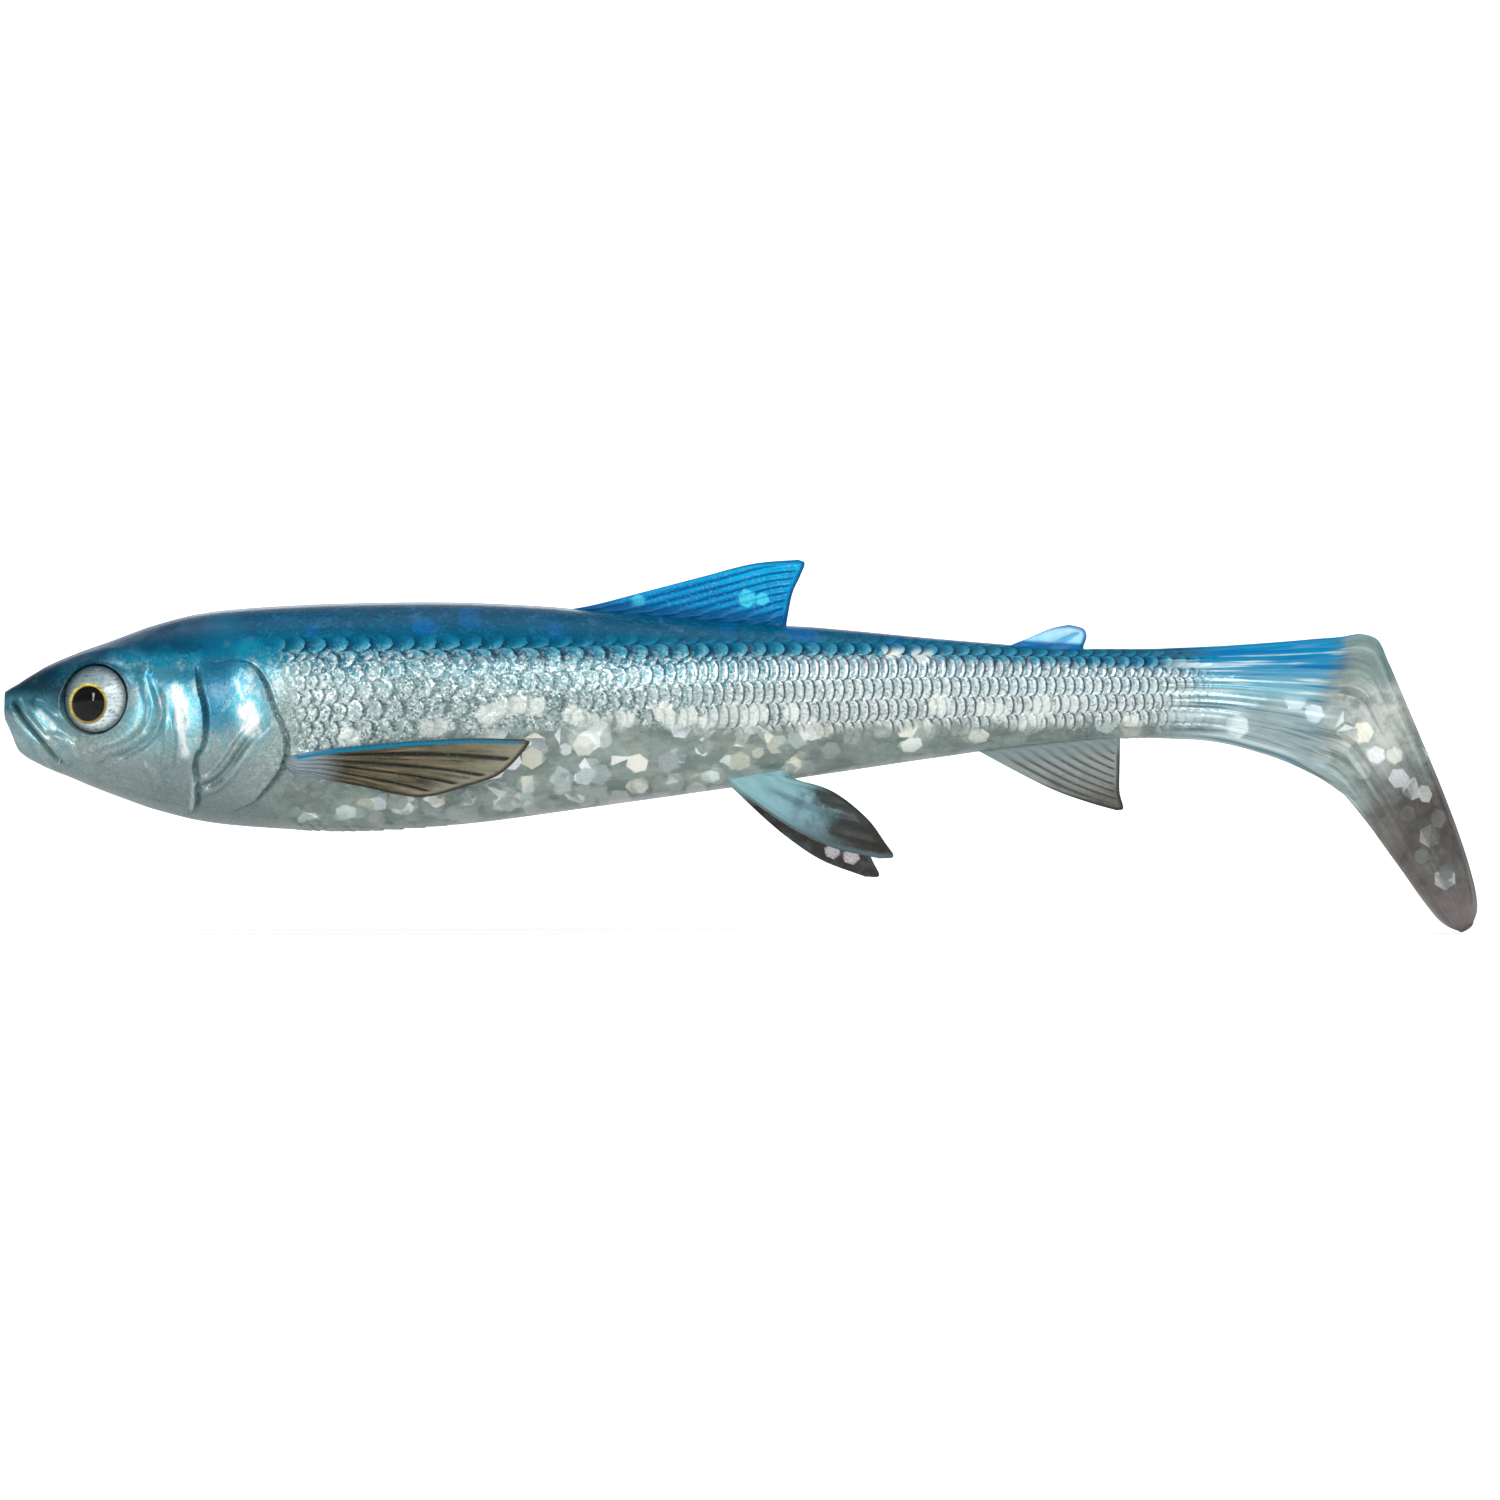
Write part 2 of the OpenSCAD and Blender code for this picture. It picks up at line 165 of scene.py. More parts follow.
bpy.context.view_layer.update()
cad_box = [list(corner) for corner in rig.bounds()]

NOMINAL_LENGTH = 200.0
MM = (cad_box[1][0] - cad_box[0][0]) / NOMINAL_LENGTH
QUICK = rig.quick()
JOINT = {j["name"]: j for j in frame["record"]["behaviour"]["joints"]}


def joint_place(name):
    return np.array(JOINT[name]["pos_m"]) / MM


FRONT_BEND, REAR_BEND, WRIST = (joint_place(j)[0] for j in ("front_bend", "rear_bend", "tail_kick"))
PADDLE_HINGE = joint_place("paddle_flex")[[0, 2]]
GOLDEN, PLASTIC, BRONZE = 0.6180339887, 0.7548776662, 0.5698402910     # steps that spread points evenly
SIXTH = math.pi / 3                         # a sixth of a turn


# ---------- small maths ----------

def smoothstep(low, high, x):
    t = np.clip((np.asarray(x, float) - low) / (high - low), 0, 1)
    return t * t * (3 - 2 * t)


def bell(x, middle, width):
    return np.exp(-((np.asarray(x, float) - middle) / width) ** 2)


def spline(x, known_x, known_y):
    """Smooth curve through known points, read at x (cubic Hermite with central slopes)."""
    kx, ky = np.asarray(known_x, float), np.asarray(known_y, float)
    slopes = np.empty_like(ky)
    slopes[1:-1] = (ky[2:] - ky[:-2]) / (kx[2:] - kx[:-2])
    slopes[0] = (ky[1] - ky[0]) / (kx[1] - kx[0])
    slopes[-1] = (ky[-1] - ky[-2]) / (kx[-1] - kx[-2])
    i = np.clip(np.searchsorted(kx, x, side="right") - 1, 0, len(kx) - 2)
    h = kx[i + 1] - kx[i]
    u = np.clip((x - kx[i]) / h, 0, 1)
    v = 1 - u
    return (ky[i] * (1 + 2 * u) * v * v + slopes[i] * h * u * v * v
            + ky[i + 1] * u * u * (3 - 2 * u) - slopes[i + 1] * h * u * u * v)


def chain(points, steps=8):
    """A smooth run of points through a few given ones."""
    p = np.array(points, float)
    t = np.linspace(0, len(p) - 1, (len(p) - 1) * steps + 1)
    return np.stack([spline(t, np.arange(len(p)), p[:, c]) for c in range(p.shape[1])], 1)


def unit(v):
    v = np.asarray(v, float)
    return v / np.maximum(np.linalg.norm(v, axis=-1, keepdims=True), 1e-12)


def distance_to_chain(x, z, points):
    """Distance from each (x, z) to a smooth chain, the side it lies on, and the share along the chain."""
    p = chain(points)
    best = np.full(x.shape, 1e9)
    side = np.ones(x.shape)
    share = np.zeros(x.shape)
    for i in range(len(p) - 1):
        a, d = p[i], p[i + 1] - p[i]
        t = np.clip(((x - a[0]) * d[0] + (z - a[1]) * d[1]) / (d @ d), 0, 1)
        ex, ez = x - a[0] - t * d[0], z - a[1] - t * d[1]
        dist = np.hypot(ex, ez)
        nearer = dist < best
        best = np.where(nearer, dist, best)
        side = np.where(nearer, np.sign(d[0] * ez - d[1] * ex), side)
        share = np.where(nearer, (i + t) / (len(p) - 1), share)
    return best, side, share


def fraction(i, step):
    return np.mod(np.asarray(i) * step, 1.0)


def hex_reach(dx, dz, turn):
    """How far out a point lies from a hexagon's centre, measured square to its nearest side."""
    angle = np.arctan2(dz, dx) + turn
    return np.hypot(dx, dz) * np.cos(np.mod(angle, SIXTH) - SIXTH / 2)


# ---------- the body's outline, read from the CAD frame ----------

FULLNESS = 2.2                              # exponent of the body's cross-section
KNUCKLE_CLEAR = 3.0                         # sections this near the paddle's knuckle are cut by its seat
EYE_CLEAR = 0.5                             # and these are cut by the eye's pocket
FULL_TRUNK_RING, FULL_TAIL_RING = 100, 60   # a whole CAD section has at least this many points
SHORTEST_CHORD = 1.5


def cad_points(*nodes):
    return np.vstack([np.array([v.co for v in frame["nodes"][n].data.vertices]) for n in nodes]) / MM


def trunk_sections():
    """x, top, belly, half width and height of the widest line, at every CAD section of the trunk."""
    p = cad_points("front_body", "mid_body", "rear_body")
    eye = [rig.box("eye_foil_left")[i][0] / MM for i in (0, 1)]
    rows = []
    for x, count in zip(*np.unique(np.round(p[:, 0], 2), return_counts=True)):
        if count < FULL_TRUNK_RING or eye[0] - EYE_CLEAR < x < eye[1] + EYE_CLEAR:
            continue
        ring = p[np.abs(p[:, 0] - x) < 0.02]
        half = np.abs(ring[:, 1]).max()
        widest = ring[np.abs(ring[:, 1]) > half - 1e-3][:, 2].mean()
        rows.append([x, ring[:, 2].max(), ring[:, 2].min(), half, widest])
    return rows


def tail_sections():
    """Upper and lower edge point, half thickness and half width, at every slanting CAD section."""
    p = cad_points("tail_stem", "tail_paddle")
    edge = np.unique(np.round(p[np.abs(p[:, 1]) < 1e-3][:, [0, 2]], 3), axis=0)
    edge = edge[(edge[:, 0] > WRIST + 1) & (np.linalg.norm(edge - PADDLE_HINGE, axis=1) > KNUCKLE_CLEAR)]
    rows = []
    for low in edge:
        for up in edge:
            chord = np.linalg.norm(low - up)
            if chord < SHORTEST_CHORD or up[1] <= low[1]:
                continue
            along = (low - up) / chord
            rel = p[:, [0, 2]] - up
            off = np.abs(rel[:, 0] * along[1] - rel[:, 1] * along[0])
            q = (rel @ along) / chord
            on = (off < 0.004) & (q > -1e-3) & (q < 1 + 1e-3)
            from_hinge = abs((PADDLE_HINGE - up) @ [along[1], -along[0]])
            if on.sum() < FULL_TAIL_RING or from_hinge < 0.7 * KNUCKLE_CLEAR:
                continue
            order = np.argsort(q[on])
            ys = np.abs(p[on, 1])[order]
            rows.append([*up, *low, np.interp(0.5, q[on][order], ys), ys.max()])
    rows.sort(key=lambda r: r[0] + r[2] - r[1] - r[3])
    return rows


def control_rings():
    """Upper point, lower point, half thickness, share to the widest line, plate width, tail share."""
    rings = [[x, top, x, low, half, (top - wide) / (top - low), 0, 0]
             for x, top, low, half, wide in trunk_sections()]
    for i, (ux, uz, lx, lz, middle, most) in enumerate(tail_sections()):
        share = min(i / 6, 1)
        web = middle / (1 - 0.175 * share)
        rings.append([ux, uz, lx, lz, web, 0.5, max(most - web, 0), share])
    return np.array(rings)


def distance_along(rings):
    """Distance along the lure, which is x as far as the wrist."""
    steps = [np.hypot(*(rings[1:, c:c + 2] - rings[:-1, c:c + 2]).T) for c in (0, 2)]
    return np.concatenate([[0], np.cumsum(np.maximum(*steps))])


RINGS = control_rings()
RING_S = distance_along(RINGS)
TRUNK_END = RING_S[np.argmax(RINGS[:, 7] > 0) - 1]
TOTAL_S = RING_S[-1]


def ring_value(column, s):
    return spline(s, RING_S, RINGS[:, column])


def s_at_x(x):
    """Distance along the lure where its middle line reaches x."""
    fine = np.linspace(0, TOTAL_S, 2000)
    middle = (ring_value(0, fine) + ring_value(2, fine)) / 2
    return float(np.interp(x, middle, fine))


# ---------- the skin as a grid ----------

def ring_places():
    """Sections are closest on the head, where the relief is finest."""
    coarse = 2.4 if QUICK else 1.0
    out = []
    for a, b, step in ((0, 1.5, 0.10), (1.5, 38, 0.17), (38, TRUNK_END, 0.27), (TRUNK_END, TOTAL_S, 0.30)):
        n = max(int((b - a) / (step * coarse)), 2)
        out.append(np.linspace(a, b, n, endpoint=False))
    return np.concatenate(out + [[TOTAL_S]])


def base_surface(s, phi):
    """Bare body surface, with the share q from the upper edge to the lower one."""
    s, phi = np.broadcast_arrays(s, phi)
    ux, uz, lx, lz, half, wide, plate, tail = [ring_value(c, s) for c in range(8)]
    half, plate, tail = np.maximum(half, 0.05), np.maximum(plate, 0), np.clip(tail, 0, 1)
    cos, sin = np.cos(phi), np.sin(phi)
    rise = np.sign(sin) * np.abs(sin) ** (2 / FULLNESS)
    q = np.where(rise > 0, wide * (1 - rise), wide - rise * (1 - wide))
    lens = np.abs(cos) ** (2 / FULLNESS)
    slab = np.sqrt(np.clip(1 - np.abs(2 * q - 1) ** 5, 0, 1))
    fall = np.exp(-(q * np.hypot(ux - lx, uz - lz) / 3.1) ** 2 / 2)
    thick = (lens * (1 - tail) + slab * tail) * half * (1 - 0.35 * tail * q) + slab * plate * fall
    return np.stack([ux + (lx - ux) * q, np.sign(cos) * thick, uz + (lz - uz) * q], -1), q


def grid_normals(p):
    """Outward normals of a closed grid whose first column runs down the right side."""
    around = np.roll(p, -1, axis=1) - np.roll(p, 1, axis=1)
    normals = unit(np.cross(around, np.gradient(p, axis=0)))
    return normals * np.sign(normals[len(p) // 2, 0, 1])


def arc_from_side(p):
    """Signed distance round each ring from its widest line, positive towards the back."""
    step = np.linalg.norm(np.roll(p, -1, axis=1) - p, axis=-1)
    girth = np.concatenate([np.zeros((len(p), 1)), np.cumsum(step, axis=1)], axis=1)
    half_turn, whole, girth = girth[:, [AROUND // 2]], girth[:, [-1]], girth[:, :-1]
    column = np.arange(AROUND)
    far_side = np.where(column <= 3 * AROUND // 4, half_turn - girth, girth - whole)
    return np.where(column <= AROUND // 4, girth, far_side)


S = ring_places()
AROUND = 128 if QUICK else 288
PHI = 2 * math.pi * np.arange(AROUND) / AROUND
BASE, Q = base_surface(S[:, None], PHI[None, :])
NORMAL = grid_normals(BASE)
X, Z = BASE[..., 0], BASE[..., 2]
ALONG = np.broadcast_to(S[:, None], X.shape)
ARC = arc_from_side(BASE)


# ---------- features of the fish ----------

BLUE_EDGE = np.interp(X, [0, 15, 40, 80, 120, 158, 200], [1.6, 6.4, 7.2, 6.8, 6.6, 5.0, 5.0])
HEIGHT = Z - BLUE_EDGE                                  # height above the edge of the blue back

MOUTH = [(0.9, 0.7), (1.9, -0.5), (2.6, -1.6), (3.6, -2.8), (5.4, -4.9), (7.1, -7.1), (7.9, -7.6)]
CHEEK = [(20.4, 4.0), (21.6, -0.6), (20.3, -4.2), (17.2, -6.4), (14.4, -7.2)]
PREOPERCLE = [(26.2, 6.4), (26.6, 2.7), (27.5, -1.1), (27.3, -5.0), (26.1, -7.5), (26.4, -12.2),
              (25.4, -14.1), (22.6, -14.3)]
OPERCLE = [(27.2, 5.8), (32.9, 5.6), (35.4, 3.3), (36.7, 0.0), (38.2, -3.4), (38.5, -5.6), (37.8, -8.3),
           (36.1, -10.6), (33.8, -12.8), (29.0, -15.2)]
SUBOPERCLE = [(37.0, -1.6), (33.5, -4.6), (30.8, -8.4), (28.9, -10.2), (27.0, -11.0)]
CHEEK_RIDGES = [[(22.2, -1.0), (22.4, -6.0), (21.4, -9.6)], [(23.8, 0.6), (24.2, -5.4), (23.4, -10.2)],
                [(18.8, -7.4), (20.6, -9.6), (21.4, -12.0)]]
RIDGES = [                                              # points, width, height
    ([(1.6, 0.9), (3.2, -0.9), (4.8, -3.0), (6.6, -5.0), (8.2, -6.6)], 0.4, 0.34),         # upper lip
    ([(5.6, -3.6), (7.7, -4.3), (9.3, -5.3), (10.7, -6.9)], 0.6, 0.60),                    # maxilla
    ([(3.7, 0.6), (5.6, 0.0), (8.4, -2.6)], 0.5, 0.50),                                    # nostril
    ([(4.2, 3.4), (8.0, 5.3), (12.6, 6.9), (17.0, 6.9), (20.2, 5.2)], 0.9, 0.40),          # brow
    ([(2.8, 2.6), (8.2, 4.4), (13.2, 6.2), (16.6, 7.8), (20.0, 9.0), (26.0, 10.6)], 0.8, 0.12),   # crown
    ([(8.6, -8.0), (13.0, -10.2), (18.6, -12.0), (23.2, -13.4)], 0.9, 0.35)]               # jaw
HEAD_END = 42

LEFT_EYE = cad_points("eye_foil_left")
EYE_CENTRE = LEFT_EYE.mean(axis=0)
EYE_AXIS = np.linalg.svd(LEFT_EYE - EYE_CENTRE, full_matrices=False)[2][2]
EYE_AXIS = EYE_AXIS * (-1 if EYE_AXIS[1] > 0 else 1)
EYE_R = np.linalg.norm(np.cross(LEFT_EYE - EYE_CENTRE, EYE_AXIS), axis=1).max()
EYES = (("left", np.array([1, 1, 1])), ("right", np.array([1, -1, 1])))
EYE_SUNK = 0.75                             # how deep the skin lies under an eye's foil


def stroke(points, width, fade=0.12):
    """1 on a drawn line and falling off beside it, with tapering ends; then distance, side and share."""
    dist, side, share = distance_to_chain(X, Z, points)
    line = bell(dist, 0, width) * smoothstep(0, fade, share) * smoothstep(1, 1 - fade, share)
    return line, dist, side, share


def head_relief():
    """Height of the head's mouth, gill plates and ridges, and the painted shade that darkens their grooves."""
    line, dist, _, share = stroke(MOUTH, 0.28, 0.04)
    h = 0.50 * bell(dist, 0.85, 0.5) * smoothstep(0, 0.1, share) - 0.62 * line
    dark = 0.7 * line
    for points, width, height in RIDGES:
        h += height * stroke(points, width, 0.25)[0]
    for points in CHEEK_RIDGES:
        line, dist, side, share = stroke(points, 0.55, 0.3)
        h += 0.48 * line
        dark += 0.3 * bell(dist, 0.95, 0.35) * smoothstep(0, 0.3, share) * (side > 0)
    line, dist, side, _ = stroke(CHEEK, 0.55, 0.2)
    h += 0.50 * bell(dist, 1.1, 0.7) * (side < 0) - 0.40 * line
    dark += 0.35 * line

    # Plates of the gill cover: each stands proud in front of its edge and drops behind it.
    for points, step_up, groove, reach in ((PREOPERCLE, 0.75, 0.42, 2.6), (OPERCLE, 1.05, 0.50, 2.9)):
        dist, side, share = distance_to_chain(X, Z, points)
        ends = smoothstep(0, 0.12, share) * smoothstep(1, 0.86, share)
        plate = step_up * np.exp(-(dist / reach) ** 1.6)
        h += ends * np.where(side < 0, plate, -groove * bell(dist, 0, 0.42))
        # Painted shade along each plate's edge, widest in the groove behind it.
        dark += 0.85 * ends * bell(dist * np.where(side < 0, 2.6, 1), 0.0, 0.30)
    line, dist, _, share = stroke(SUBOPERCLE, 0.35, 0.15)
    h += 0.40 * bell(dist, 0.85, 0.45) * smoothstep(0, 0.2, share) - 0.42 * line
    dark += 0.5 * line
    for x, z, length, depth, height in ((32.5, 0.8, 4.2, 5.0, 0.60), (23.6, -2.0, 2.4, 4.0, 0.35)):
        h += height * bell(np.hypot((X - x) / length, (Z - z) / depth), 0, 1)
    return np.where(X < HEAD_END, h, 0), np.where(X < HEAD_END, np.clip(dark, 0, 1), 0)


# Painted highlights on the head: bright streaks where the gill plates, cheek, snout and jaw face the light.
HEAD_HIGHLIGHT_STREAKS = [                                       # points, width, strength
    ([(19.4, 3.4), (19.9, 0.0), (19.5, -3.6)], 0.55, 0.55),
    ([(23.7, 2.0), (24.5, -0.4), (24.5, -2.6)], 1.25, 1.0),
    ([(24.5, -2.6), (25.0, -6.4)], 0.75, 0.75), ([(22.4, 1.6), (22.6, -2.6)], 0.4, 0.6),
    ([(31.9, 3.2), (32.8, 0.6)], 0.5, 0.6), ([(33.5, -0.9), (34.0, -2.8)], 1.7, 1.2),
    ([(5.0, -1.0), (7.0, -3.0)], 0.75, 0.7), ([(7.4, -4.6), (10.2, -6.6)], 0.5, 0.4),
    ([(26.2, -9.5), (25.7, -13.4)], 0.45, 0.45), ([(30.2, -9.6), (33.4, -6.4), (36.2, -3.0)], 0.4, 0.45)]


def head_pearl():
    """Painted highlights, laid as streaks on the gill plates, cheek, snout and jaw."""
    streaks = [strength * bell(distance_to_chain(X, Z, points)[0], 0, width)
               for points, width, strength in HEAD_HIGHLIGHT_STREAKS]
    return np.max(streaks, axis=0)


def lattice(pitch_x, pitch, row_x, row):
    """Overlapping-scale coordinates: pitches along the body, and up it, may change along its length."""
    fine = np.linspace(0, TOTAL_S, 4000)
    count = np.concatenate([[0], np.cumsum(np.diff(fine) / np.interp(fine, pitch_x, pitch)[:-1])])
    return np.interp(ALONG, fine, count), ARC / np.interp(ALONG, row_x, row)


SCALE_BOW = 0.46                            # how far a scale's edge bows back, in scale lengths


def scale_height(u, v):
    """0 just behind a scale's edge, rising to 1 at the next one; each row is shifted by half a scale."""
    row = np.floor(v)
    across = v - row - 0.5
    bow = SCALE_BOW * np.sqrt(np.clip(1 - 4 * across ** 2, 0, 1))
    return np.mod(u + 0.5 * np.mod(row, 2) - bow, 1)


FLANK = lattice([38, 47, 55, 68, 84, 100, 165], [1.4, 1.6, 2.7, 3.0, 2.0, 1.40, 1.24],
                [38, 47, 55, 68, 84, 100, 130, 165], [1.95, 2.1, 2.7, 2.8, 2.8, 3.1, 2.8, 2.2])
SHOULDER = lattice([38, 50, 80, 115, 165], [2.2, 3.0, 3.1, 2.4, 1.9], [60, 110, 160], [2.4, 2.2, 1.8])
SCALE_START = smoothstep(37.5, 42, X + 0.25 * Z) * smoothstep(167, 161, X)
LOW_EDGE = np.interp(X, [40, 52, 62, 76, 95, 120, 160], [-9, -3.6, -2.4, -0.8, -3.5, -5.0, -3.0])
SHOULDER_WEIGHT = SCALE_START * smoothstep(-1.6, 0.2, HEIGHT) * smoothstep(3.0, 0.9, HEIGHT)
BELLY_SCALES = smoothstep(38, 41, X) * smoothstep(64, 54, X) * smoothstep(-6, -9, Z) * 0.9
FLANK_WEIGHT = (SCALE_START * smoothstep(0.6, -0.8, HEIGHT) * smoothstep(LOW_EDGE - 2.2, LOW_EDGE + 1.0, Z)
                * np.interp(X, [45, 62, 92, 108], [0.85, 0.60, 0.70, 1]))
FLANK_WEIGHT = np.maximum(FLANK_WEIGHT, BELLY_SCALES)
SCALE_DEPTH = np.interp(X, [88, 105, 160], [0.24, 0.27, 0.2])


def tail_relief():
    """Fin rays: fine ribs that run out of the wrist and fan into the boot."""
    rays = (np.sin(Q * 2 * math.pi * 12) + 0.6 * np.sin(Q * 2 * math.pi * 19 + 1.3)) * 0.5
    strength = smoothstep(162, 166, ALONG) * np.interp(ALONG, [176, 190, 215], [1, 0.7, 0.3])
    return 0.16 * rays * strength * smoothstep(0.02, 0.10, Q) * smoothstep(0.98, 0.88, Q)


def eye_pocket(p):
    """Sinks the skin under each eye and raises a rim round it."""
    for _, mirror in EYES:
        centre, axis = EYE_CENTRE * mirror, EYE_AXIS * mirror
        rel = p - centre
        height = rel @ axis
        radius = np.linalg.norm(rel - height[..., None] * axis, axis=-1)
        here = (radius < EYE_R + 4) & (p[..., 1] * centre[1] > 0)
        raised = np.maximum(height, height + (0.30 - height) * bell(radius, EYE_R + 0.3, 1.1))
        raised += 0.275 * bell(radius, EYE_R + 0.35, 1.0)
        sunk = smoothstep(EYE_R + 0.28, EYE_R + 0.06, radius)
        target = raised * (1 - sunk) - EYE_SUNK * sunk
        p = p + np.where(here, target - height, 0)[..., None] * axis
    return p


def eye_radius():
    """Distance of each skin point from its own side's eye axis, in eye radii."""
    rel = np.stack([X, -np.abs(BASE[..., 1]), Z], -1) - EYE_CENTRE
    flat = rel - (rel @ EYE_AXIS)[..., None] * EYE_AXIS
    return np.linalg.norm(flat, axis=-1) / EYE_R


def scale_creases():
    """Faint upright creases where the large front scales run down into the clear belly, drawn only as painted shade.
    """
    places = ((72.9, -7.0), (76.4, -8.0), (82.5, -7.2), (85.6, -6.0), (91.2, -5.6))
    lines = [[(x + 0.9, 0.2), (x, low / 2), (x + 0.5, low)] for x, low in places]
    return np.max([stroke(points, 0.24, 0.3)[0] for points in lines], axis=0)


# The second value is painted shade along the head's grooves and plate edges.
HEAD_HEIGHT, GROOVE_SHADE = head_relief()
EYE_DISTANCE = eye_radius()
KNOB = bell(np.hypot(X - 40.6, Z + 8.2), 0, 1.9)        # where each pectoral fin grows out of the side
SCALES = (FLANK_WEIGHT * (scale_height(*FLANK) - 0.5)
          + 0.8 * SHOULDER_WEIGHT * (scale_height(*SHOULDER) - 0.5))
RELIEF = (HEAD_HEIGHT * smoothstep(1.0, 1.35, EYE_DISTANCE) + tail_relief() + 1.2 * KNOB
          + SCALE_DEPTH * SCALES)
SKIN = eye_pocket(BASE + NORMAL * RELIEF[..., None])
SKIN_NORMAL = grid_normals(SKIN)

# ---------- paint regions, measured on the skin ----------

# Painted shade: round each eye's socket, heavier below it; the dark channel also takes the grooves' and creases'
# painted shade.
EYE_SHADOW = bell(EYE_DISTANCE, 1.0, 0.24) * (0.95 + 0.40 * smoothstep(-2, -5, Z - EYE_CENTRE[2]))
DARK = np.maximum(np.clip(GROOVE_SHADE + 0.6 * scale_creases(), 0, 1), EYE_SHADOW)
LOW_CLEAR = np.interp(X, [0, 30, 42, 55, 66, 80, 95, 130, 165, 176, 200],
                      [-13, -13, -9, -5.2, -4.4, -3.4, -3.6, -3.2, -3.0, 4, 9])
CLEAR_TAIL = np.maximum(smoothstep(170, 181, ALONG) * smoothstep(7.4, 5.2, Z), smoothstep(180, 183.5, X))
CLEAR = np.maximum(smoothstep(LOW_CLEAR + 2.4, LOW_CLEAR - 1.6, Z) * smoothstep(28, 46, X), CLEAR_TAIL)
STREAK = smoothstep(161, 168, ALONG)
SMOKE = smoothstep(-5.5, -15, Z - 0.45 * (X - 190)) * smoothstep(182, 187, X)
TAIL_BLUE = smoothstep(187.5, 184.5, X) * smoothstep(158, 166, X)


def flake_spots():
    """x, z, size, on the left side or not, and shine of the flakes that lie right under the paint."""
    for i in range(1, 115):                             # along the flank, and a quarter of them in the belly
        x = 92 + 72 * fraction(i, GOLDEN) if i % 5 > 1 else 46 + 60 * fraction(i, PLASTIC)
        z = np.interp(x, [46, 70, 100, 140, 165], [-2.4, -2.4, -2.2, -0.9, 0.4])
        z += 1.7 * math.sin(i * 1.7) + 0.9 * math.sin(i * 2.9)
        if i % 4 == 0:
            x = 46 + 64 * fraction(i, BRONZE)
            z = np.interp(x, [46, 80, 110], [-14.6, -12.2, -8.8]) + 1.1 * math.sin(i * 2.1)
        yield i, x, z, 1.45 + 0.35 * math.sin(i * 3.7), i % 2 == 0, 0.35 + 0.65 * fraction(i * i, BRONZE)
    for i in range(1, 49):                              # above the pectoral fin, and under the blue back
        if i % 2:
            x, size = 57 + 25 * fraction(i, GOLDEN), 1.5
            z = -1.5 + 1.6 * math.sin(i * 2.3)
        else:
            x, size = 35 + 90 * fraction(i * i, PLASTIC), 1.45 + 0.3 * math.sin(i)
            z = np.interp(x, [35, 60, 125], [10.9, 11.6, 8.2]) + 1.1 * math.sin(i * 2.7)
        yield i, x, z, size, i % 4 < 2, 0.45 + 0.5 * fraction(i * i, BRONZE)


def flash_windows():
    """Pale hexagons where a flake right under the paint shows its own pale colour with a painted glint, and the head's
    painted highlights.
    """
    out = head_pearl()
    left_side = np.broadcast_to(np.cos(PHI)[None, :] < 0, X.shape)
    for i, x, z, size, on_left, shine in flake_spots():
        here = (left_side == on_left) & (np.abs(X - x) < 2.2) & (np.abs(Z - z) < 2.2)
        reach = hex_reach(X[here] - x, Z[here] - z, i * 1.1)
        out[here] = np.maximum(out[here], shine * smoothstep(size * 0.88, size * 0.78, reach))
    return out


FLASH = flash_windows()
SKIN_ATTRIBUTES = {
    "rest": BASE, "flank": np.stack([*FLANK, FLANK_WEIGHT], -1),
    "shoulder": np.stack([*SHOULDER, SHOULDER_WEIGHT], -1), "paint": np.stack([HEIGHT, CLEAR, DARK], -1),
    "tail": np.stack([Q, SMOKE, STREAK * TAIL_BLUE], -1), "along": np.stack([ALONG, FLASH, STREAK], -1)}


# ---------- meshes ----------

def new_object(name, verts, faces, material, slot, normals=None, smooth=True):
    mesh = bpy.data.meshes.new(name)
    mesh.from_pydata([tuple(v) for v in (np.asarray(verts) * MM).tolist()], [], faces)
    mesh.validate(clean_customdata=False)
    mesh.polygons.foreach_set("use_smooth", [smooth] * len(mesh.polygons))
    if normals is not None:
        mesh.normals_split_custom_set_from_vertices(np.asarray(normals).tolist())
    mesh.materials.append(material)
    obj = bpy.data.objects.new(name, mesh)
    bpy.context.scene.collection.objects.link(obj)
    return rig.slot(obj, slot)


def set_attribute(obj, name, values):
    attribute = obj.data.attributes.new(name, "FLOAT_VECTOR", "POINT")
    attribute.data.foreach_set("vector", np.asarray(values, np.float32).ravel())


def tube_faces(rings, around, first=False, last=False):
    """Quads between rings of points, with one face over either end if asked."""
    i, j = np.meshgrid(np.arange(rings - 1), np.arange(around), indexing="ij")
    a, b = i * around + j, i * around + (j + 1) % around
    faces = np.stack([a, b, b + around, a + around], -1).reshape(-1, 4).tolist()
    if first:
        faces.append(list(range(around))[::-1])
    if last:
        faces.append(list(range((rings - 1) * around, rings * around)))
    return faces


def end_cap(ring, inward, crown, rings=7):
    """Concentric rings that close an end, bulging by crown along the outward direction."""
    middle = ring.mean(axis=0)
    turns = [k / rings * math.pi / 2 for k in range(1, rings)]
    return np.array([middle + (ring - middle) * math.cos(t) ** 0.9 - inward * crown * math.sin(t)
                     for t in turns])


NOSE_IN = np.array([1.0, 0, 0])
TIP_IN = unit(SKIN[-6].mean(axis=0) - SKIN[-1].mean(axis=0))
NOSE = end_cap(SKIN[0], NOSE_IN, 0.0)[::-1]
TIP = end_cap(SKIN[-1], TIP_IN, 0.5)


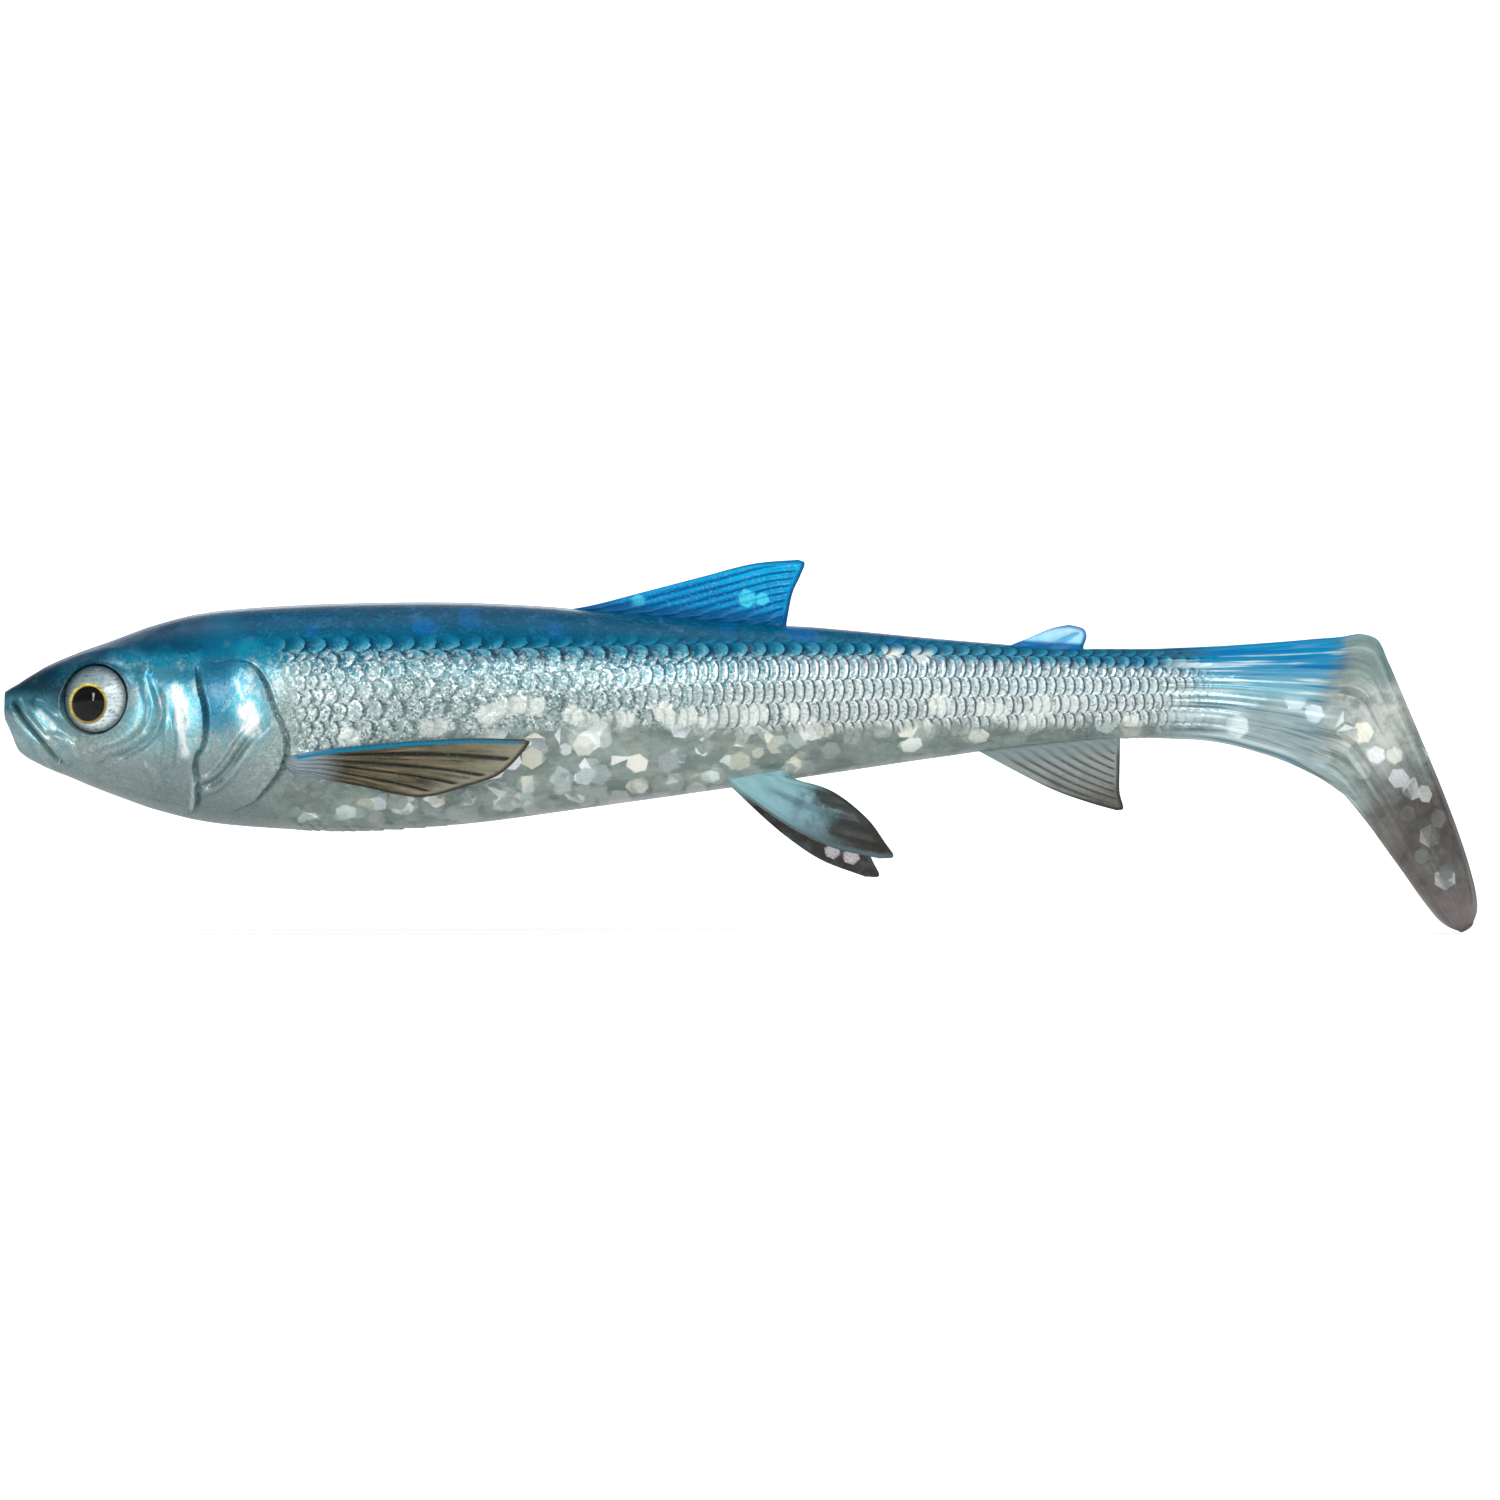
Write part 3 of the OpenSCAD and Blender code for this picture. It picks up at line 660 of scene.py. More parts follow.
def skin_piece(name, s0, s1):
    """One stretch of the skin from distance s0 to s1, with its paint attributes."""
    i0, i1 = (int(np.argmin(np.abs(S - s))) for s in (s0, s1))
    first, last = i0 == 0, i1 == len(S) - 1

    def stretch(values, nose, tip):
        caps = [np.broadcast_to(nose, NOSE.shape)] * first, [np.broadcast_to(tip, TIP.shape)] * last
        return np.concatenate([*caps[0], values[i0:i1 + 1], *caps[1]]).reshape(-1, 3)

    verts = stretch(SKIN, NOSE, TIP)
    faces = tube_faces(len(verts) // AROUND, AROUND, first, last)
    normals = stretch(SKIN_NORMAL, -NOSE_IN, -TIP_IN)
    obj = new_object(name, verts, faces, SKIN_MATERIAL, "body_plastic", normals)
    for key, values in SKIN_ATTRIBUTES.items():
        set_attribute(obj, key, stretch(values, values[:1], values[-1:]))
    return obj


# ---------- node materials ----------

class Nodes:
    """Builds a node material: each call adds a node and links its inputs; tone is the colour so far."""

    def __init__(self, name):
        self.material = bpy.data.materials.new(name)
        self.material.use_nodes = True
        self.tree = self.material.node_tree
        self.tree.nodes.clear()
        self.tone = None

    def add(self, kind, inputs=None, output=0, **settings):
        node = self.tree.nodes.new(kind)
        for key, value in settings.items():
            setattr(node, key, value)
        for key, value in (inputs or {}).items():
            self.feed(node.inputs[key], value)
        return node if output is None else node.outputs[output]

    def feed(self, socket, value):
        if isinstance(value, bpy.types.NodeSocket):
            self.tree.links.new(value, socket)
        elif socket.type == "RGBA":
            socket.default_value = (*(srgb(value) if isinstance(value, str) else value), 1)
        else:
            socket.default_value = value

    def math(self, operation, *values, clamp=False):
        return self.add("ShaderNodeMath", dict(enumerate(values)), operation=operation, use_clamp=clamp)

    def times(self, first, *rest):
        for value in rest:
            first = self.math("MULTIPLY", first, value)
        return first

    def plus(self, first, *rest):
        for value in rest:
            first = self.math("ADD", first, value)
        return first

    def minus(self, first, second, clamp=False):
        return self.math("SUBTRACT", first, second, clamp=clamp)

    def vector(self, operation, a, b=(0, 0, 0), output=0):
        return self.add("ShaderNodeVectorMath", {0: a, 1: b}, output, operation=operation)

    def attribute(self, name):
        node = self.add("ShaderNodeAttribute", output=None, attribute_name=name)
        parts = self.add("ShaderNodeSeparateXYZ", {0: node.outputs["Vector"]}, output=None)
        return node.outputs["Vector"], *parts.outputs

    def place(self):
        """The object's own coordinates in mm."""
        return self.vector("MULTIPLY", self.add("ShaderNodeTexCoord", output="Object"), (1 / MM,) * 3)

    def mix(self, fac, a, b, blend="MIX"):
        node = self.add("ShaderNodeMix", output=None, data_type="RGBA", blend_type=blend)
        for socket, value in ((0, fac), (6, a), (7, b)):
            self.feed(node.inputs[socket], value)
        return node.outputs[2]

    def over(self, colour, *masks):
        """Lays a colour over the tone, as strongly as the product of the masks."""
        self.tone = self.mix(self.times(*masks), self.tone, colour)

    def span(self, value, low, high, to_low=0.0, to_high=1.0, kind="SMOOTHSTEP"):
        return self.add("ShaderNodeMapRange", {0: value, 1: low, 2: high, 3: to_low, 4: to_high},
                        interpolation_type=kind)

    def band(self, value, low, full, still_full, high):
        """1 from full to still_full, fading out at low and at high."""
        return self.times(self.span(value, low, full), self.span(value, high, still_full))

    def ramp(self, value, stops):
        node = self.add("ShaderNodeValToRGB", {0: value}, output=None)
        elements = node.color_ramp.elements
        while len(elements) < len(stops):
            elements.new(0.5)
        for element, (place, colour) in zip(elements, stops):
            element.position = place
            element.color = (*srgb(colour), 1)
        return node.outputs[0]

    def noise(self, vector, scale, detail=2.0, rough=0.5):
        """Noise over a vector; a scale of three numbers stretches it."""
        if isinstance(scale, tuple):
            vector, scale = self.vector("MULTIPLY", vector, scale), 1.0
        return self.add("ShaderNodeTexNoise",
                        {"Vector": vector, "Scale": scale, "Detail": detail, "Roughness": rough})

    def bump(self, height, strength, distance, normal=None):
        inputs = {"Height": height, "Strength": strength, "Distance": distance}
        if normal is not None:
            inputs["Normal"] = normal
        return self.add("ShaderNodeBump", inputs)

    def surface(self, **inputs):
        inputs.setdefault("Base_Color", self.tone)
        shader = self.add("ShaderNodeBsdfPrincipled", output=None)
        for key, value in inputs.items():
            self.feed(shader.inputs[key.replace("_", " ")], value)
        self.add("ShaderNodeOutputMaterial", {0: shader.outputs[0]}, output=None)
        return self.material


def srgb(code):
    """Linear colour from a hexadecimal one."""
    parts = [int(code[k:k + 2], 16) / 255 for k in (1, 3, 5)]
    return tuple(c / 12.92 if c <= 0.04045 else ((c + 0.055) / 1.055) ** 2.4 for c in parts)


def scale_nodes(n, u, v):
    """The scale pattern of scale_height() as nodes."""
    v = n.plus(v, 40.0)
    row = n.math("FLOOR", v)
    across = n.minus(n.minus(v, row), 0.5)
    bow = n.times(n.math("SQRT", n.minus(1.0, n.times(across, across, 4.0), clamp=True)), SCALE_BOW)
    shift = n.times(n.math("MODULO", row, 2.0), 0.5)
    return n.math("FRACT", n.minus(n.plus(u, shift, 8.0), bow))


# ---------- the skin's paint, in layers; spans are in mm ----------

def skin_fields(n):
    """What the paint looks at: places and regions measured on the mesh, and noises over its rest shape."""
    f = SimpleNamespace()
    f.rest, f.x, _, f.z = n.attribute("rest")
    _, flank_u, flank_v, f.flank_w = n.attribute("flank")
    _, shoulder_u, shoulder_v, f.shoulder_w = n.attribute("shoulder")
    _, f.height, f.clear, f.dark = n.attribute("paint")
    _, f.q, f.smoke, streak = n.attribute("tail")
    _, f.along, f.flash, f.stem = n.attribute("along")
    f.ragged = n.noise(f.rest, (0.25, 0.25, 0.5), 3, 0.6)
    f.blotch = n.noise(f.rest, (0.42, 0.42, 0.42), 3, 0.6)
    f.fine = n.noise(f.rest, 1.5, 3, 0.65)
    f.grain = n.noise(f.rest, 4.2, 2, 0.7)
    cells = n.add("ShaderNodeTexVoronoi", {"Vector": f.rest, "Scale": 3.4}, output="Color")
    f.glint, f.other, _ = n.add("ShaderNodeSeparateColor", {0: cells}, output=None).outputs
    wobble = n.times(n.span(f.fine, 0.25, 0.75, -0.09, 0.09), n.span(f.x, 108, 84))
    f.flank = scale_nodes(n, n.plus(flank_u, wobble), flank_v)
    f.shoulder = scale_nodes(n, n.plus(shoulder_u, wobble), shoulder_v)
    f.edge = n.plus(f.height, n.span(f.ragged, 0.2, 0.8, -1.5, 1.5), n.span(f.fine, 0.2, 0.8, -1.1, 1.1),
                    n.times(n.span(f.shoulder, 0.1, 0.9, 0.9, -0.9), f.shoulder_w))
    f.body = n.span(f.x, 34, 44)
    f.low = n.times(n.span(f.height, 1.8, -2.2), n.span(f.body, 0, 1, 0.32, 0.95),
                    n.span(f.clear, 0.1, 0.9, 1, 0.35))
    f.window = n.span(n.plus(f.clear, n.span(f.blotch, 0.3, 0.7, -0.28, 0.28)), 0.15, 0.85)
    f.on_body = n.times(f.flash, n.span(f.x, 40, 44), n.span(f.height, 1.6, 0.4))
    # The head's painted highlights, broken up by noise; the metal is lessened under them.
    f.pearl = n.times(f.flash, n.span(f.x, 44, 40), n.span(f.height, 1, 0),
                      n.span(n.noise(f.rest, (1.6, 1.6, 0.7), 4, 0.7), 0.34, 0.58, 0.55, 1))
    ribs = n.add("ShaderNodeCombineXYZ", {0: n.times(f.q, 19), 1: n.times(f.along, 0.045)})
    f.lines = n.noise(ribs, 1, 3, 0.5)
    fading = n.plus(f.x, n.span(f.lines, 0.3, 0.7, -1.3, 1.3), n.times(f.q, 7))
    f.streak = n.times(streak, n.span(fading, 184.4, 180))
    f.pale = n.times(f.stem, n.span(f.x, 185, 176), n.span(f.q, 0.4, 0.65))
    f.boot = n.times(n.band(f.x, 178, 184, 188, 193), n.band(f.z, -10.5, -6, 1.5, 4.5),
                     n.span(f.blotch, 0.36, 0.58, 0.35, 1))
    return f


def paint_back(n, f):
    """The blue back, running down into the silver along the scales and in ragged patches."""
    n.tone = n.ramp(n.span(f.edge, -20, 8, kind="LINEAR"), [
        (0, "#8c9b94"), (0.36, "#9eb0aa"), (0.54, "#b0c4c2"),
        (0.625, "#8abac2"), (0.67, "#2c8ca2"), (0.71, "#00708e"),
        (0.78, "#005c7c"), (0.86, "#005072"), (1, "#003e5c")])
    above = n.span(f.height, 0.5, 2.5)
    n.over("#00629c", n.span(f.blotch, 0.54, 0.62), above, 0.4)
    n.over("#0082a0", n.span(f.fine, 0.48, 0.7), above, 0.55)
    n.over("#00304a", n.span(f.grain, 0.52, 0.34), above, 0.5)
    # Flakes under the blue back: their own colour with a painted glint.
    n.over("#0068ac", f.flash, n.span(f.x, 33, 36), n.span(f.height, 1.2, 2.4),
           n.span(f.fine, 0.3, 0.65, 0.35, 0.8))


def paint_scales(n, f):
    """Painted highlights on the scales' crests, metal flake in the silver with a tilt for every grain and painted
    glints and dark specks on the grains, and painted shade in the gaps behind each scale's edge.
    """
    # Painted highlights: lighter teal on the crests of the shoulder scales.
    n.over(n.mix(n.span(f.height, 0, 2.4), "#54acc4", "#0084aa"),
           n.span(f.shoulder, 0.4, 0.9), f.shoulder_w, n.span(f.fine, 0.3, 0.6, 0.35, 0.9))
    # Painted highlights: near-white on the crests of the flank scales.
    n.over(n.mix(n.span(f.x, 82, 104), "#ccdede", "#fcfffd"),
           n.span(f.flank, 0.45, 0.92), f.flank_w, 0.75)
    n.over("#608084", n.band(f.x, 48, 56, 74, 88), n.span(f.z, -2.5, 1), n.span(f.height, 1, -1), 0.34)
    n.over("#fafefc", f.flank_w, n.span(f.x, 98, 112), 0.28)
    # Painted glints and dark specks on the silver grains.
    sparkle = n.times(f.low, n.span(f.x, 84, 108, 0.75, 0.6))
    n.over("#fafefc", n.span(f.glint, 0.5, 0.95), sparkle)
    n.over("#3a5c64", n.span(f.other, 0.55, 0.98), sparkle)
    # Flakes right under the paint: their own pale colour with a painted glint.
    n.over("#f6fcf4", f.on_body, n.span(f.fine, 0.3, 0.6, 0.7, 1))
    # Painted shade: dark just behind each scale's edge, on the flank and on the shoulder.
    n.over(n.mix(n.span(f.height, -5, 0.5), "#2c4e50", "#003040"),
           n.span(f.flank, 0.34, 0.12), f.flank_w, n.span(f.on_body, 0, 1, 0.85, 0.35))
    n.over("#00263e", n.span(f.shoulder, 0.34, 0.08), f.shoulder_w, 0.8)


def paint_head(n, f):
    """Dark crown and snout, blue-green behind the eye, a painted reflection along the crown's top edge, and painted
    highlights with cyan fringes on the gill plates.
    """
    x, z, height, blotch = f.x, f.z, f.height, f.blotch
    n.over(n.mix(n.span(z, -2.5, 4.5), "#60baca", "#0488a8"), n.band(x, 12, 20, 34, 39),
           n.span(z, -9, -0.5), n.span(blotch, 0.3, 0.56), n.span(height, 3, 0.6), 0.85)
    n.over("#08688a", n.band(x, 26.4, 27.6, 30, 33), n.span(z, -6, -1), 0.8)
    n.over(n.mix(blotch, "#002c48", "#004666"), n.span(x, 34, 22), n.span(height, -0.6, 1.2), 0.8)
    n.over(n.mix(n.span(z, 0.5, 3), "#0e485a", "#062c3a"),
           n.span(x, 11, 6), n.span(z, -5, 1.5), 0.92)
    # Painted reflection: a grey-violet band along the crown's top edge.
    crown_reflection = n.span(n.plus(f.q, n.span(f.ragged, 0.25, 0.75, -0.025, 0.045)), 0.1, 0.01)
    n.over("#68768a", n.band(x, 3, 9, 18, 36), crown_reflection, 0.5)
    n.over("#5498a6", n.span(x, 12, 7), n.span(z, 2.4, 0.4), n.span(blotch, 0.3, 0.6), 0.55)
    n.over("#869496", n.span(x, 42, 30), n.span(z, -4, -9), 0.6)
    # Painted highlights on the head: a cyan fringe, then near-white.
    n.over(n.mix(n.span(z, -6, -1), "#b0c8ca", "#54c2d6"), n.span(f.pearl, 0.04, 0.4, 0, 0.6))
    n.over("#fafffe", n.span(f.pearl, 0.22, 0.85))


def paint_tail(n, f):
    """Clear grey-green plastic, with painted highlights and painted shade in streaks along the tail's rays, the blue
    that runs into the stem and the smoke lobe.
    """
    x, z, q, blotch = f.x, f.z, f.q, f.blotch
    n.over(n.mix(n.span(f.ragged, 0.3, 0.75), "#82938c", "#b0beb8"), f.window)
    # Flakes right under the clear skin: their own pale colour with a painted glint.
    n.over("#dee4de", f.on_body, f.window, n.span(f.fine, 0.3, 0.6, 0.45, 0.75))
    n.over(n.mix(blotch, "#609498", "#8ea69e"), n.span(x, 179, 184), n.span(z, 1, 5), 0.8)
    n.over(n.mix(n.span(q, 0.1, 0.55), "#0086b6", "#8cc4cc"), f.streak, n.span(q, 0.95, 0.4))
    n.over("#b2c8cd", f.pale, 0.85)
    n.over("#eaeee6", f.boot, 0.92)
    # Painted highlights: pale streaks along the stem.
    n.over("#d8ecee", f.stem, n.span(f.lines, 0.53, 0.62), n.span(q, 0.02, 0.12),
           n.span(x, 190, 180, 0.35, 0.85))
    # Painted shade: dark streaks along the stem between them.
    shadow = n.mix(n.span(q, 0.3, 0.7), "#0068aa", "#468092")
    n.over(n.mix(f.streak, "#546662", shadow), f.stem, n.span(f.lines, 0.47, 0.38),
           n.span(x, 188, 181, 0.35, 0.75))
    lobe = n.mix(n.span(blotch, 0.35, 0.65), "#524c46", "#766c68")
    lobe = n.mix(n.span(z, -23, -28, 0, 0.8), lobe, "#928484")
    n.over(lobe, f.smoke, n.span(n.noise(f.rest, (0.3, 0.3, 0.12), 3), 0.25, 0.75, 0.75, 1))


def skin_material():
    n = Nodes("painted_soft_plastic")
    f = skin_fields(n)
    for layers in (paint_back, paint_scales, paint_head, paint_tail):
        layers(n, f)
    # Painted shade: the dark channel darkens the grooves, creases and eye sockets, more strongly higher up.
    groove = n.mix(n.span(f.z, -8, 3), "#327a86", "#003246")
    n.over(groove, f.dark, n.span(f.z, -5, 4, 0.45, 0.88))

    relief = n.plus(n.times(f.flank, f.flank_w, 0.16), n.times(f.shoulder, f.shoulder_w, 0.12))
    normal = n.bump(relief, 0.6, MM)
    normal = n.bump(n.times(f.glint, f.low), 0.5, 0.12 * MM, normal)
    normal = n.bump(f.fine, 0.25, 0.25 * MM, normal)
    metal = n.times(n.span(f.edge, 0.6, -1.8), n.minus(1, f.clear), n.span(f.body, 0, 1, 0.5, 0.45),
                    n.span(f.pearl, 0.3, 0.9, 1, 0.2))
    thin = n.times(                                     # how much of the core shows through
        f.window, n.span(f.ragged, 0.25, 0.8, 0.6, 0.42), n.span(f.q, 0.98, 0.84, 0.4, 1),
        n.span(f.q, 0.01, 0.07, 0.1, 1), n.minus(1, n.times(f.streak, n.span(f.q, 0.55, 0.42))),
        n.span(f.smoke, 0, 1, 1, 0.7), n.span(n.math("MAXIMUM", f.pale, f.boot), 0, 1, 1, 0.65),
        n.span(f.along, TOTAL_S - 0.5, TOTAL_S - 5, 0.25, 1))
    wet = n.math("MAXIMUM", n.span(f.height, 0.5, -1.5), n.span(f.height, 4.4, 6.4))
    return n.surface(Metallic=metal, Roughness=n.span(f.grain, 0.3, 0.7, 0.24, 0.4, kind="LINEAR"),
                     Normal=normal, Alpha=n.minus(1, thin), IOR=1.45, Coat_Roughness=0.08,
                     Coat_Weight=n.span(wet, 0, 1, 0.03, 0.25),
                     Specular_IOR_Level=n.span(wet, 0, 1, 0.08, 0.25))


# ---------- the other materials ----------

def core_material():
    n = Nodes("milky_core")
    place = n.place()
    cloud = n.noise(place, (0.16, 0.16, 0.3), 4, 0.6)
    blot = n.noise(place, (0.45, 0.45, 0.6))
    n.tone = n.ramp(cloud, [(0.3, "#8c9991"), (0.5, "#acb8b1"), (0.7, "#ccd6d0")])
    n.over("#cdd6d0", n.span(blot, 0.58, 0.75, 0, 0.5))
    x, _, z = n.add("ShaderNodeSeparateXYZ", {0: place}, output=None).outputs
    n.over(n.mix(n.span(blot, 0.35, 0.65), "#48443e", "#706862"),
           n.span(x, 182, 188), n.span(z, -4, -13))
    return n.surface(Roughness=0.5, Normal=n.bump(cloud, 0.3, MM), Specular_IOR_Level=0.2)


def flake_material():
    """Pearl film: every flake has its own brightness and a faint hue from the film's interference; the brighter flakes
    also emit light, as a painted glint.
    """
    n = Nodes("hex_glitter_film")
    own = n.add("ShaderNodeNewGeometry", output="Random Per Island")
    other = n.math("FRACT", n.times(own, 17.31))
    tone = n.ramp(own, [(0, "#a8b4b0"), (0.35, "#c8d2d0"), (0.6, "#e6ece8"),
                        (0.8, "#fafcf8"), (1, "#ffffff")])
    hue = n.ramp(other, [(0, "#ffecc4"), (0.35, "#ffffff"), (0.7, "#d6f0f6"),
                         (1, "#ece2fa")])
    n.tone = n.mix(0.5, tone, hue, "MULTIPLY")
    # Painted glint: the brighter flakes emit their own colour.
    return n.surface(Metallic=0.25, Roughness=n.span(other, 0, 1, 0.12, 0.34),
                     Normal=n.bump(n.noise(n.place(), 0.9), 0.35, 0.4 * MM), Emission_Color=n.tone,
                     Emission_Strength=n.times(n.span(own, 0.4, 0.92), 0.7),
                     Alpha=n.span(own, 0, 0.5, 0.5, 1))


def fin_material(name, body, rim, tip, ray, root, alpha, painted_glow=0.0, inner=None, flake_tone=(0.8, 0.8, 0.8),
                 fleck=0.2, polish=0.12, streaky=None):
    """Thin plastic: a body colour, a darker rim, dark rays, a smoky or bright tip, the root's own tint, and a faint
    painted light that the plastic emits.
    """
    n = Nodes(name)
    _, out, _, edge = n.attribute("fin")
    _, ray_height, strip, flake = n.attribute("rays")
    _, outer, fan, reach = n.attribute("face")
    rest = n.attribute("rest")[0]
    cloud = n.noise(rest, (0.35, 0.35, 0.35), 3, 0.6)
    grain = n.noise(rest, 3.2, 2, 0.6)
    n.tone = n.mix(n.span(out, 0.25, 0.95), body, tip)
    n.over(rim, n.span(cloud, 0.45, 0.75, 0, 0.3))
    if streaky:
        streaks = n.add("ShaderNodeCombineXYZ", {0: n.times(fan, 30), 1: n.times(reach, 3)})
        streaks = n.noise(streaks, 1, 3, 0.6)
        n.over(streaky, n.span(streaks, 0.5, 0.68, 0, 0.8))
        n.over(ray, n.span(streaks, 0.46, 0.34, 0, 0.6))
        n.over("#a8a694", n.span(reach, 0.78, 0.97), n.span(cloud, 0.3, 0.55, 0.3, 1), 0.5)
    n.over(ray, n.span(ray_height, 0.66, 0.15), 0.9)
    n.over(n.mix(0.45, body, "#e2f0f4"), n.span(grain, 0.54, 0.72), fleck)
    n.over(rim, n.span(edge, 0.75, 0.2, 0, 0.85))
    if inner:
        vane = n.span(n.plus(reach, n.span(cloud, 0.3, 0.7, -0.12, 0.12)), 0.42, 0.78)
        n.over(tip, n.band(fan, 0.05, 0.13, 0.6, 0.86), vane, 0.92)
        n.over(n.mix(n.span(cloud, 0.45, 0.8), inner, rim), n.minus(1, outer))
    n.over(flake_tone, flake, n.span(grain, 0.3, 0.6, 0.6, 0.95))
    n.over(root, n.span(out, 0.22, 0.02))
    n.over("#007a9c", strip)
    normal = n.bump(grain, 0.2, 0.2 * MM, n.bump(ray_height, 0.6, 0.25 * MM))
    # Painted light: the fin emits its own colour faintly.
    return n.surface(Roughness=n.span(cloud, 0.3, 0.7, 0.24, 0.38), Normal=normal, Coat_Roughness=0.12,
                     Alpha=n.span(edge, 0, 2.2, alpha[1], alpha[0]), Emission_Color=n.tone,
                     Emission_Strength=painted_glow, Coat_Weight=polish, Specular_IOR_Level=polish)


PUPIL_SHIFT = np.array([-1.15, 0, -0.6])   # the print is not quite in the middle of the foil


def eye_foil_material(name, centre, axis):
    """Printed foil: black pupil set a little off centre, thin gold ring, pearly silver field, with painted shade
    towards the top and round the rim and a gold ring shaded darker at the bottom.
    """
    n = Nodes(name)
    place, axis = n.place(), tuple(axis)

    def distance(middle):
        rel = n.vector("SUBTRACT", place, tuple(middle))
        along = n.vector("DOT_PRODUCT", rel, axis, output="Value")
        scaled = n.add("ShaderNodeVectorMath", {0: axis, "Scale": along}, operation="SCALE")
        flat = n.vector("SUBTRACT", rel, scaled)
        return n.math("DIVIDE", n.vector("LENGTH", flat, output="Value"), EYE_R)

    pupil = distance(centre + PUPIL_SHIFT)
    brush = n.noise(place, (1.2, 1.2, 3), 3, 0.6)
    n.tone = n.ramp(brush, [(0.3, "#96acb0"), (0.5, "#cedede"), (0.72, "#f6faf6")])
    away = n.vector("SUBTRACT", place, tuple(centre))
    upward = n.vector("DOT_PRODUCT", away, (-0.55, 0, 0.83), output="Value")
    # Painted shade: the foil darkens towards the top and the front.
    n.over("#54747e", n.span(upward, -1.4, 3.8, 0, 0.8))
    # Painted shade round the foil's rim.
    n.over("#22363e", n.span(distance(centre), 0.72, 1.00, 0, 0.9))
    gold = n.mix(n.span(brush, 0.35, 0.65), "#ceb028", "#f0e06e")
    # Painted highlight and shade: the gold ring is bright at the top and brownish at the bottom.
    n.over(n.mix(n.span(upward, -2.5, 2), "#96783c", gold), n.span(pupil, 0.645, 0.585))
    n.over("#030303", n.span(pupil, 0.56, 0.51))
    return n.surface(Metallic=n.span(pupil, 0.5, 0.58, 0, 0.45),
                     Roughness=n.span(brush, 0.3, 0.7, 0.25, 0.45),
                     Specular_IOR_Level=n.span(pupil, 0.5, 0.58, 0, 0.5),
                     Normal=n.bump(brush, 0.15, 0.2 * MM))


def eye_dome_material():
    """Poured clear dome: only its polish shows, with fine handling marks."""
    n = Nodes("clear_eye_dome")
    marks = n.noise(n.place(), 2.2, 3, 0.6)
    shine = n.times(n.add("ShaderNodeFresnel", {"IOR": 1.5}), 0.75)
    behind = n.add("ShaderNodeNewGeometry", output="Backfacing")
    alpha = n.times(n.plus(shine, n.span(marks, 0.6, 0.9, 0, 0.02)), n.minus(1, behind))
    n.tone = n.mix(marks, "#f4fafc", "#ffffff")
    return n.surface(Metallic=1.0, Roughness=n.span(marks, 0.3, 0.8, 0.02, 0.06), Alpha=alpha,
                     Normal=n.bump(marks, 0.02, 0.1 * MM))


SKIN_MATERIAL, CORE_MATERIAL, FLAKE_MATERIAL = skin_material(), core_material(), flake_material()
DOME_MATERIAL = eye_dome_material()

# ---------- the skin, its core, and where they bend ----------

SEAMS = [0, s_at_x(36), s_at_x(88), (FRONT_BEND + REAR_BEND) / 2, (REAR_BEND + WRIST) / 2, s_at_x(171),
         TOTAL_S]
BENDS = {"front_bend": ((1, 0), 8.0), "rear_bend": ((1, 0), 8.0), "tail_kick": ((1, 0), 11.0),
         "paddle_flex": (unit((0.5, -0.87)), 10.0)}     # direction along the lure, and length of the bend
STRETCHES = [("trunk", None, "front_body"), ("front_bend", "front_bend", "mid_body"),
             ("rear_bend", "rear_bend", "rear_body"), ("wrist", "tail_kick", "tail_stem"),
             ("tail", "paddle_flex", "tail_paddle")]    # name, joint it bends across, CAD solid it covers


def ride_or_bend(obj, joint):
    """Each stretch of the lure rides on the trunk or bends across one hinge."""
    if joint is None:
        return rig.ride(obj, "trunk")
    direction, length = BENDS[joint]
    ends = [joint_place(joint)[[0, 2]] + share * length * np.array(direction) for share in (-0.5, 0.5)]
    start, end = [(x * MM, 0.0, z * MM) for x, z in ends]
    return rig.blend(obj, JOINT[joint]["parent"], JOINT[joint]["child"], start=start, end=end)


ride_or_bend(skin_piece("head_skin", SEAMS[0], SEAMS[1]), None)
for (name, joint, covered), s0, s1 in zip(STRETCHES, SEAMS[1:], SEAMS[2:]):
    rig.replaces(ride_or_bend(skin_piece(f"{name}_skin", s0, s1), joint), covered)


CORE_START = 6.0
CORE_AROUND = 72


def core_depth(sideways):
    """How deep the core lies: shallow on the back and belly, deeper where the skin faces sideways."""
    return 0.45 + 1.45 * sideways


def core_piece(name, s0, s1):
    """Milky inside of the lure, a little under the skin, closed at both ends."""
    n = max(int((s1 - s0) / (4.0 if QUICK else 1.2)), 4)
    s = np.linspace(s0, s1, n)
    p, _ = base_surface(s[:, None], 2 * math.pi * np.arange(CORE_AROUND)[None, :] / CORE_AROUND)
    half = np.abs(p[..., 1]).max(axis=1)[:, None, None]
    outward = grid_normals(p)
    p = p - outward * np.minimum(core_depth(np.abs(outward[..., 1:2])), 0.5 * half)
    middle = p.mean(axis=1, keepdims=True)
    p = middle + (p - middle) * np.sqrt(np.clip((TOTAL_S - s) / 3.0, 0.05, 1))[:, None, None]
    faces = tube_faces(n, CORE_AROUND, True, True)
    return new_object(name, p.reshape(-1, 3), faces, CORE_MATERIAL, "body_plastic")


CORE_ENDS = [CORE_START, *SEAMS[2:-1], TOTAL_S - 0.5]
for (name, joint, _), s0, s1 in zip(STRETCHES, CORE_ENDS, CORE_ENDS[1:]):
    ride_or_bend(core_piece(f"{name}_core", s0, s1), joint)


# ---------- glitter ----------

PLATE_THICKNESS = 0.06


